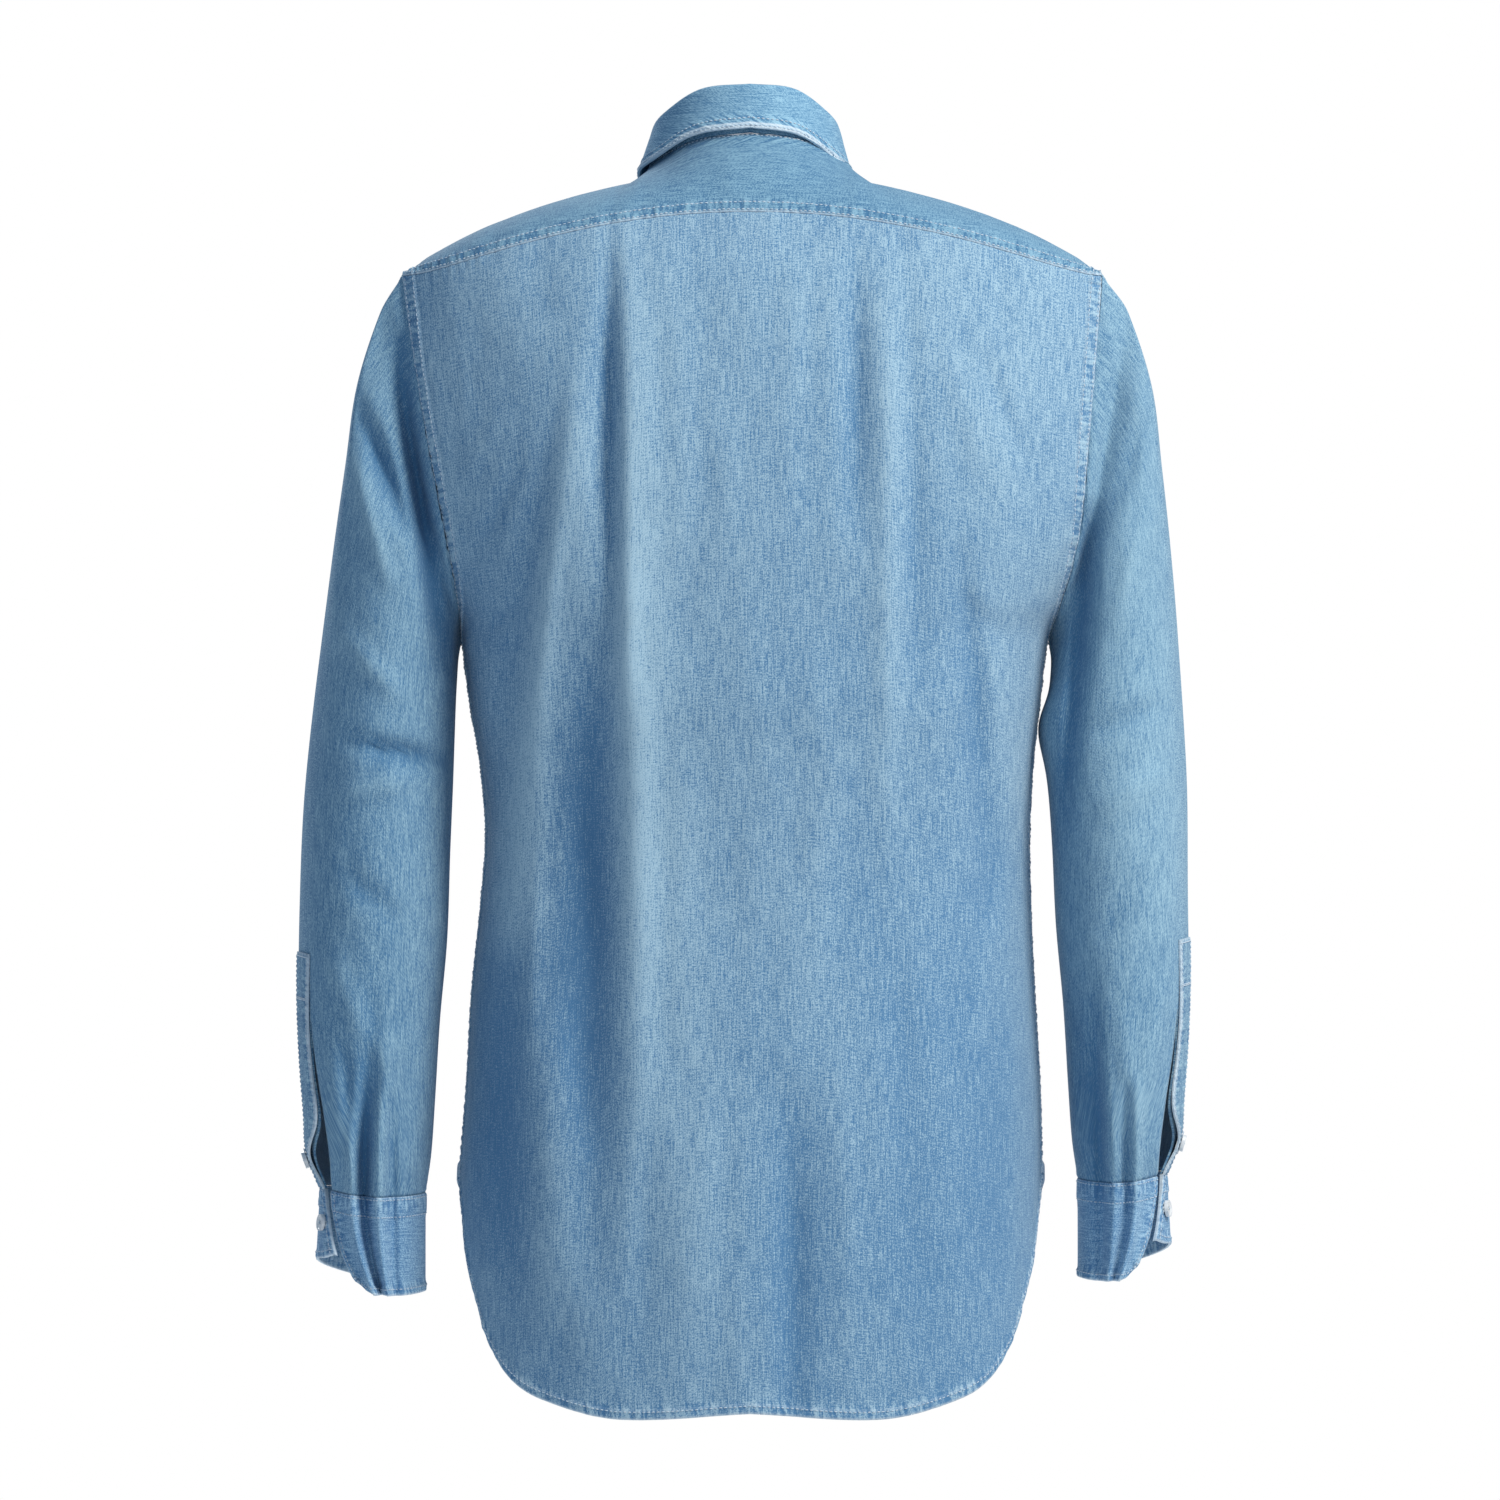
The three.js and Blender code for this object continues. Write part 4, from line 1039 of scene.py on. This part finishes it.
collar_denim = denim(
    "denim of the collar", linear(70, 120, 160), linear(112, 160, 189), linear(156, 195, 214), 1.4
)
collar_columns = LAP_END * (2 * closer(200) - 1)
stand_rows = closer(14)[:, None]
stand_height = collar_frame(collar_columns)[4][0][None, :]
stand = cloth_piece(
    "shirt_collar_stand",
    collar_point(collar_columns + 0 * stand_rows, 0, SEAM + (stand_height - SEAM) * stand_rows),
    -1,
    [("top", 0.0, 3, 0.1, 0.2), ("bottom", 0.3, 4, 0.2, 0.3)],
    warp_across=True,
)
thing = build(stand, [collar_denim])
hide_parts("collar_stand")


def leaf_columns(s):
    """The leaf's key points at each place: up from the stand, over the fold and down."""
    base, away, under, forward, (height, leaf, tilt, sweep) = collar_frame(s)
    roll = [
        collar_point(s, -SOLID_WALL + 0 * height, height + SEAM),
        collar_point(s, -SOLID_WALL + 0 * height, height + LEAF_LOW),
        collar_point(s, under / 2 - LEAF_IN, height + LEAF_FOLD),
        collar_point(s, under + LEAF_OUT, height + LEAF_TOP),
    ]
    tilt = np.radians(tilt)[..., None]
    fall = np.array((0.0, 0.0, -1.0)) * np.cos(tilt) + away * np.sin(tilt)
    fall = fall - forward * sweep[..., None]
    fall /= np.linalg.norm(fall, axis=-1, keepdims=True)
    flat = [roll[3] + fall * (leaf * share)[..., None] for share in (0.25, 0.5, 0.75, 1)]
    for number, point in enumerate(flat, 1):
        flat[number - 1] = point + (drawn_in(point, 1.0) - point) * number / 8
    return np.stack(roll + flat)


leaf_middle = leaf_columns(LAST_LEAF * (2 * closer(170) - 1))
leaf_ends = []
for side in (-1, 1):
    inner_end, outer_end = (leaf_columns(np.array([side * s]))[:, 0] for s in (LAST_LEAF, 2.0))
    steps = LEAF_END * closer(14, (0, 1))[1:]
    leaf_ends.append(inner_end[:, None] + (outer_end - inner_end)[:, None] * steps[None, :, None])
leaf_keys = np.concatenate((leaf_ends[0][:, ::-1], leaf_middle, leaf_ends[1]), axis=1)
table = np.concatenate((np.arange(8.0)[:, None], leaf_keys.reshape(8, -1)), axis=1)
leaf_rows = np.concatenate((np.linspace(0, 3, 11), lerp(3, 7, closer(34, (0, 1)))[1:]))
leaf_grid = np.moveaxis(curve_through(table)(leaf_rows), 0, -1).reshape(len(leaf_rows), -1, 3)
leaf = cloth_piece(
    "shirt_collar_leaf",
    leaf_grid,
    1,
    [("bottom", 0.5, 3, 0.5, 2.2), ("start", 0.5, 3, 0.4, 2.2), ("end", 0.5, 3, 0.4, 2.2)],
    wall=1.4,
    warp_across=True,
)
thing = build(leaf, [collar_denim])
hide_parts("collar_leaf")

# A small doubled gusset of paler denim inside each side seam closes the fork between the
# two tails, and shows a little below it.
GUSSET_TOP, GUSSET_BOTTOM, GUSSET_BACK, GUSSET_FRONT = -606, -641, 0.93, 0.95
GUSSET_FORK, GUSSET_BULGE, GUSSET_OVER, GUSSET_UNDER, GUSSET_WIDE = -609, 5, 10, 14, 7
gusset_denim = denim(
    "pale denim of the gussets", linear(150, 180, 203), linear(190, 210, 224), linear(222, 232, 238), 0.5
)
for name, side in (("left", 1), ("right", -1)):
    heights = lerp(GUSSET_TOP, GUSSET_BOTTOM, np.linspace(0, 1, 19))[:, None]
    behind = back_point(side * lerp(GUSSET_BACK, 1, np.linspace(0, 1, 9))[None, :], heights)
    before = front_point(side * lerp(1, GUSSET_FRONT, np.linspace(0, 1, 9))[None, 1:], heights)
    grid = np.concatenate((behind, before), axis=1)
    grid[..., 0] -= side * (LAYER + SEAM)
    loose = smooth((GUSSET_FORK - grid[..., 2]) / GUSSET_OVER)
    loose = loose * smooth((grid[..., 2] - GUSSET_BOTTOM) / GUSSET_UNDER)
    loose = loose * np.exp(-((grid[..., 1] / GUSSET_WIDE) ** 2))
    grid[..., 0] += side * GUSSET_BULGE * loose
    gusset = cloth_piece(
        "shirt_gusset_" + name,
        grid,
        side,
        [("bottom", 0.2, 2, 0.1, 1.0), ("top", 0.2, 2, 0.1, 0.4)],
        wall=1.0,
    )
    thing = build(gusset, [gusset_denim])
    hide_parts("gusset_" + name)
    "front_" + name

# The shirt is sewn with pale cotton thread: twin rows beside the yoke, armhole and side
# seams and round the collar, single rows along the hem, cuffs and plackets.
THREAD_LENGTH, THREAD_PITCH, THREAD_RADIUS = 2.3, 3.0, 0.36


def line_inside(piece, place, away):
    """The line on a piece at one distance from an edge, and which way it faces."""
    far, grid, out = piece["far"][place], piece["grid"], piece["out"]
    if place in ("start", "end"):
        far, grid, out = far.T, np.swapaxes(grid, 0, 1), np.swapaxes(out, 0, 1)
    if place in ("bottom", "end"):
        far, grid, out = far[::-1], grid[::-1], out[::-1]
    row = np.array([np.interp(away, column, np.arange(len(column))) for column in far.T])
    whole = np.minimum(row.astype(int), len(far) - 2)
    share, columns = (row - whole)[:, None], np.arange(far.shape[1])
    mixed = lambda values: lerp(values[whole, columns], values[whole + 1, columns], share)
    return mixed(grid), mixed(out)


def stitch_row(line, facing, pitch=THREAD_PITCH, length=THREAD_LENGTH, radius=THREAD_RADIUS):
    """A row of stitches along a line: each is a short thread, thin at both ends."""
    travelled = np.concatenate(([0], np.cumsum(np.linalg.norm(np.diff(line, axis=0), axis=1))))
    middles = np.arange(pitch, travelled[-1] - pitch * 0.6, pitch)
    at = lambda values, place: np.stack([np.interp(place, travelled, v) for v in values.T], axis=-1)
    centre, normal = at(line, middles), at(facing, middles)
    along = at(line, middles + length / 2) - at(line, middles - length / 2)
    along /= np.maximum(np.linalg.norm(along, axis=1, keepdims=True), 1e-6)
    aside = np.cross(normal, along)
    turns = np.radians(np.arange(5) * 72 + 18)
    ring = [(np.cos(turn) * radius, np.sin(turn) * radius * 0.8) for turn in turns]
    shape = [(-0.5, 0, -0.6 * radius)]
    shape += [(-0.28, side, up) for side, up in ring] + [(0.28, side, up) for side, up in ring]
    shape += [(0.5, 0, -0.6 * radius)]
    points = [
        centre + along * ahead * length + aside * side + normal * (up + 0.45 * radius)
        for ahead, side, up in shape
    ]
    faces = []
    for k in range(5):
        after = (k + 1) % 5
        faces += [(0, 1 + after, 1 + k), (1 + k, 1 + after, 6 + after), (1 + k, 6 + after, 6 + k)]
        faces += [(11, 6 + k, 6 + after)]
    starts = np.arange(len(middles))[:, None, None] * len(shape)
    return np.stack(points, axis=1).reshape(-1, 3), (np.array(faces)[None] + starts).reshape(-1, 3)


cotton_wires = Wires("cotton thread")
cotton_place = cotton_wires.add("ShaderNodeTexCoord", {}, {}, 3)
cotton = cotton_wires.finish(
    {
        "Base Color": cotton_wires.mix(
            cotton_wires.noise(cotton_place, (260, 260, 260)),
            linear(150, 178, 200),
            linear(222, 230, 235),
        ),
        "Roughness": 0.8,
    }
)


def sew(name, rows, slot, material=cotton):
    """One joined mesh for all the rows of stitches on a piece."""
    points, faces, count = [], [], 0
    for row_points, row_faces in rows:
        points.append(row_points)
        faces.append(row_faces + count)
        count += len(row_points)
    mesh = bpy.data.meshes.new(name)
    mesh.from_pydata((np.concatenate(points) / 1000).tolist(), [], np.concatenate(faces).tolist())
    mesh.polygons.foreach_set("use_smooth", np.ones(len(mesh.polygons), bool))
    mesh.materials.append(material)
    thing = bpy.data.objects.new(name, mesh)
    bpy.context.scene.collection.objects.link(thing)
    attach(thing, "root")


def rows_on(piece, **distances):
    lines = [line_inside(piece, place, away) for place, run in distances.items() for away in run]
    return [stitch_row(*line) for line in lines]


sew("stitches_back", rows_on(back, start=(2, 9), end=(2, 9), bottom=(5,)), "back")
sew("stitches_yoke", rows_on(yoke, bottom=(1.6, 6.6), top=(1.8,), start=(2, 8.5), end=(2, 8.5)), "yoke")
for name, front in fronts.items():
    rows = rows_on(front, end=(2, 9), bottom=(5,), start=(4, 29))
    sew("stitches_front_" + name, rows, "fronts")
sew("stitches_collar_leaf", rows_on(leaf, bottom=(1.6, 6.6), start=(1.6, 6.6), end=(1.6, 6.6)), "collar")
sew("stitches_collar_stand", rows_on(stand, bottom=(2.2,)), "collar")
for name in ("left", "right"):
    rows = rows_on(cuffs[name], top=(1.8, 12.5), bottom=(4,), start=(4,), end=(4,))
    sew("stitches_cuff_" + name, rows, "cuffs")
    placket = plackets[name]
    tacks = [stitch_row(*line_inside(placket, "top", away), 0.9, 1.5, 0.4) for away in (2.2, 28.0, 28.9)]
    sew("stitches_placket_" + name, rows_on(placket, start=(1.8,), end=(1.8,)) + tacks, "sleeves")

# The buttons are turned from white shell-like resin, with four holes and a raised rim,
# and each is sewn on with a cross of thread through its buttonhole.
BUTTON_RADIUS, BUTTON_THICK, BUTTON_RIM, BUTTON_DISH = 0.0052, 0.0022, 0.0011, 0.0005
BUTTON_HOLE, BUTTON_SPREAD = 0.00062, 0.0013


def pick(condition):
    """Selects the faces of the object in edit mode whose middle and normal fit."""
    edited = bmesh.from_edit_mesh(bpy.context.object.data)
    for face in edited.faces:
        face.select_set(condition(face.calc_center_median(), face.normal))
    edited.select_flush_mode()
    bmesh.update_edit_mesh(bpy.context.object.data)


bpy.ops.object.select_all(action="DESELECT")
bpy.ops.mesh.primitive_cylinder_add(
    vertices=40, radius=BUTTON_RADIUS, depth=BUTTON_THICK, location=(0, 0, BUTTON_THICK / 2)
)
button = bpy.context.object
bpy.ops.object.transform_apply()
bpy.ops.object.mode_set(mode="EDIT")
bpy.ops.mesh.select_mode(type="FACE")
pick(lambda middle, normal: normal.z > 0.9)
bpy.ops.mesh.inset(thickness=BUTTON_RIM)
bpy.ops.mesh.inset(thickness=BUTTON_RIM * 0.45)
bpy.ops.transform.translate(value=(0, 0, -BUTTON_DISH))
bpy.ops.object.mode_set(mode="OBJECT")
drills = []
for turn in range(4):
    angle = np.pi / 4 + turn * np.pi / 2
    place = (BUTTON_SPREAD * np.cos(angle), BUTTON_SPREAD * np.sin(angle), BUTTON_THICK / 2)
    bpy.ops.mesh.primitive_cylinder_add(vertices=12, radius=BUTTON_HOLE, depth=0.01, location=place)
    drills.append(bpy.context.object)
for drill in drills:
    cut = button.modifiers.new("hole", "BOOLEAN")
    cut.object, cut.solver = drill, "EXACT"
soften = button.modifiers.new("rounded rim", "BEVEL")
soften.width, soften.segments, soften.limit_method, soften.angle_limit = 0.00018, 2, "ANGLE", 0.7
bpy.context.view_layer.objects.active = button
for modifier in [m.name for m in button.modifiers]:
    bpy.ops.object.modifier_apply(modifier=modifier)
for drill in drills:
    bpy.data.objects.remove(drill)
button_mesh = button.data
bpy.data.objects.remove(button)
resin_wires = Wires("white button resin")
resin_place = resin_wires.add("ShaderNodeTexCoord", {}, {}, 3)
swirl = resin_wires.noise(resin_place, (240, 240, 420), 3.0, 0.6)
resin = resin_wires.finish(
    {
        "Base Color": resin_wires.mix(
            swirl.between(0.3, 0.7), linear(214, 216, 217), linear(240, 240, 238)
        ),
        "Roughness": 0.28,
        "Coat Weight": 0.3,
    }
)
button_mesh.materials.append(resin)
BUTTONHOLE_LENGTH, BUTTONHOLE_WIDTH = 14.0, 2.4
upright = (0, 0, 1)
button_places = [("button_front_%d" % k, fronts["left"], upright, "fronts") for k in range(1, 7)]
button_places += [("button_collar", stand, (1, 0, 0), "collar")]
for name in ("left", "right"):
    button_places += [("button_placket_" + name, plackets[name], upright, "sleeves")]
    button_places += [("button_cuff_" + name, cuffs[name], (0, 1, 0), "cuffs")]
for node, piece, along, slot in button_places:
    middle = np.mean(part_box(node), axis=0) * 1000
    nearest = np.linalg.norm(piece["grid"] - middle, axis=-1).argmin()
    point = piece["grid"].reshape(-1, 3)[nearest]
    facing = piece["out"].reshape(-1, 3)[nearest]
    point = middle - facing * np.dot(middle - point, facing)
    along = np.array(along, float)
    along -= facing * np.dot(along, facing)
    along /= np.linalg.norm(along)
    aside = np.cross(facing, along)
    turned = Matrix(np.stack((aside, along, facing), axis=1).tolist()).to_4x4()
    place = Matrix.Translation(Vector(((point + facing * 0.7) / 1000).tolist())) @ turned
    mesh = button_mesh.copy()
    mesh.transform(place)
    thing = bpy.data.objects.new("shirt_" + node, mesh)
    bpy.context.scene.collection.objects.link(thing)
    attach(thing, "root")
    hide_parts(node)
    spread, top = BUTTON_SPREAD * 707, (BUTTON_THICK - BUTTON_DISH) * 1000 + 0.75
    threads = []
    for first, last in (((-1, -1), (1, 1)), ((-1, 1), (1, -1))):
        ends = [point + facing * top + (aside * a + along * b) * spread for a, b in (first, last)]
        arch = np.array([-0.9, 0.15, 0.3, 0.15, -0.9])[:, None]
        run = np.linspace(ends[0], ends[1], 5) + facing * arch
        threads.append(stitch_row(run, np.tile(facing, (5, 1)), 1.1, 2.0, 0.3))
    turns = np.radians(np.linspace(0, 360, 61))[:, None]
    cos, sin = np.cos(turns), np.sin(turns)
    reach = (BUTTONHOLE_LENGTH - BUTTONHOLE_WIDTH) / 2 * np.sign(cos) * (np.abs(cos) > 0.02)
    loop = point + along * (cos * BUTTONHOLE_WIDTH / 2 + reach)
    loop = loop + aside * sin * BUTTONHOLE_WIDTH / 2
    threads.append(stitch_row(loop + facing * 0.1, np.tile(facing, (61, 1)), 0.7, 1.1, 0.42))
    sew("thread_" + node, threads, slot)

# The camera stands level behind the shirt. A pale floor, a wide soft light from the
# wearer's right and an even sky give the plain studio light.
VIEW_HEIGHT = -0.36
VIEW_DISTANCE = 9.0
VIEW_WIDTH = 0.934
camera_data = bpy.data.cameras.new("camera")
camera_data.lens = camera_data.sensor_width * VIEW_DISTANCE / VIEW_WIDTH
camera = bpy.data.objects.new("camera", camera_data)
camera.location = (0, VIEW_DISTANCE, VIEW_HEIGHT)
camera.rotation_euler = (np.pi / 2, 0, np.pi)
bpy.context.scene.collection.objects.link(camera)
bpy.context.scene.camera = camera


def soft_light(name, place, size, power, colour):
    data = bpy.data.lights.new(name, "AREA")
    data.shape, data.size, data.energy, data.color = "SQUARE", size, power, colour
    light = bpy.data.objects.new(name, data)
    light.location = place
    ray = Vector((0, 0, VIEW_HEIGHT)) - Vector(place)
    light.rotation_euler = ray.to_track_quat("-Z", "Y").to_euler()
    bpy.context.scene.collection.objects.link(light)


soft_light("main light", (-1.9, 1.7, 1.9), 1.1, 121, (1, 0.96, 0.9))
soft_light("front light", (1.3, -3.0, 0.9), 1.8, 54, (1, 0.98, 0.95))
sky = bpy.data.worlds.new("sky")
sky.use_nodes = True
sky_nodes, sky_links = sky.node_tree.nodes, sky.node_tree.links
backdrop, seen = sky_nodes["Background"], sky_nodes.new("ShaderNodeLightPath")
blend = sky_nodes.new("ShaderNodeMix")
blend.data_type = "RGBA"
blend.inputs[6].default_value, blend.inputs[7].default_value = (0.235, 0.315, 0.415, 1), (1, 1, 1, 1)
sky_links.new(seen.outputs["Is Camera Ray"], blend.inputs[0])
sky_links.new(blend.outputs[2], backdrop.inputs["Color"])
bpy.context.scene.view_settings.view_transform = "Standard"
bpy.context.scene.world = sky

bpy.ops.mesh.primitive_plane_add(size=7, location=(0, 0, -1.45))
floor = bpy.context.active_object
floor.name = "floor"
floor_paint = Wires("pale floor")
grey = floor_paint.noise(floor_paint.add("ShaderNodeTexCoord", {}, {}, 3), (3, 3, 3))
grey = floor_paint.mix(grey, (0.9, 0.9, 0.9, 1), (0.93, 0.93, 0.93, 1))
floor.data.materials.append(floor_paint.finish({"Base Color": grey, "Roughness": 0.9}))

bpy.context.view_layer.update()
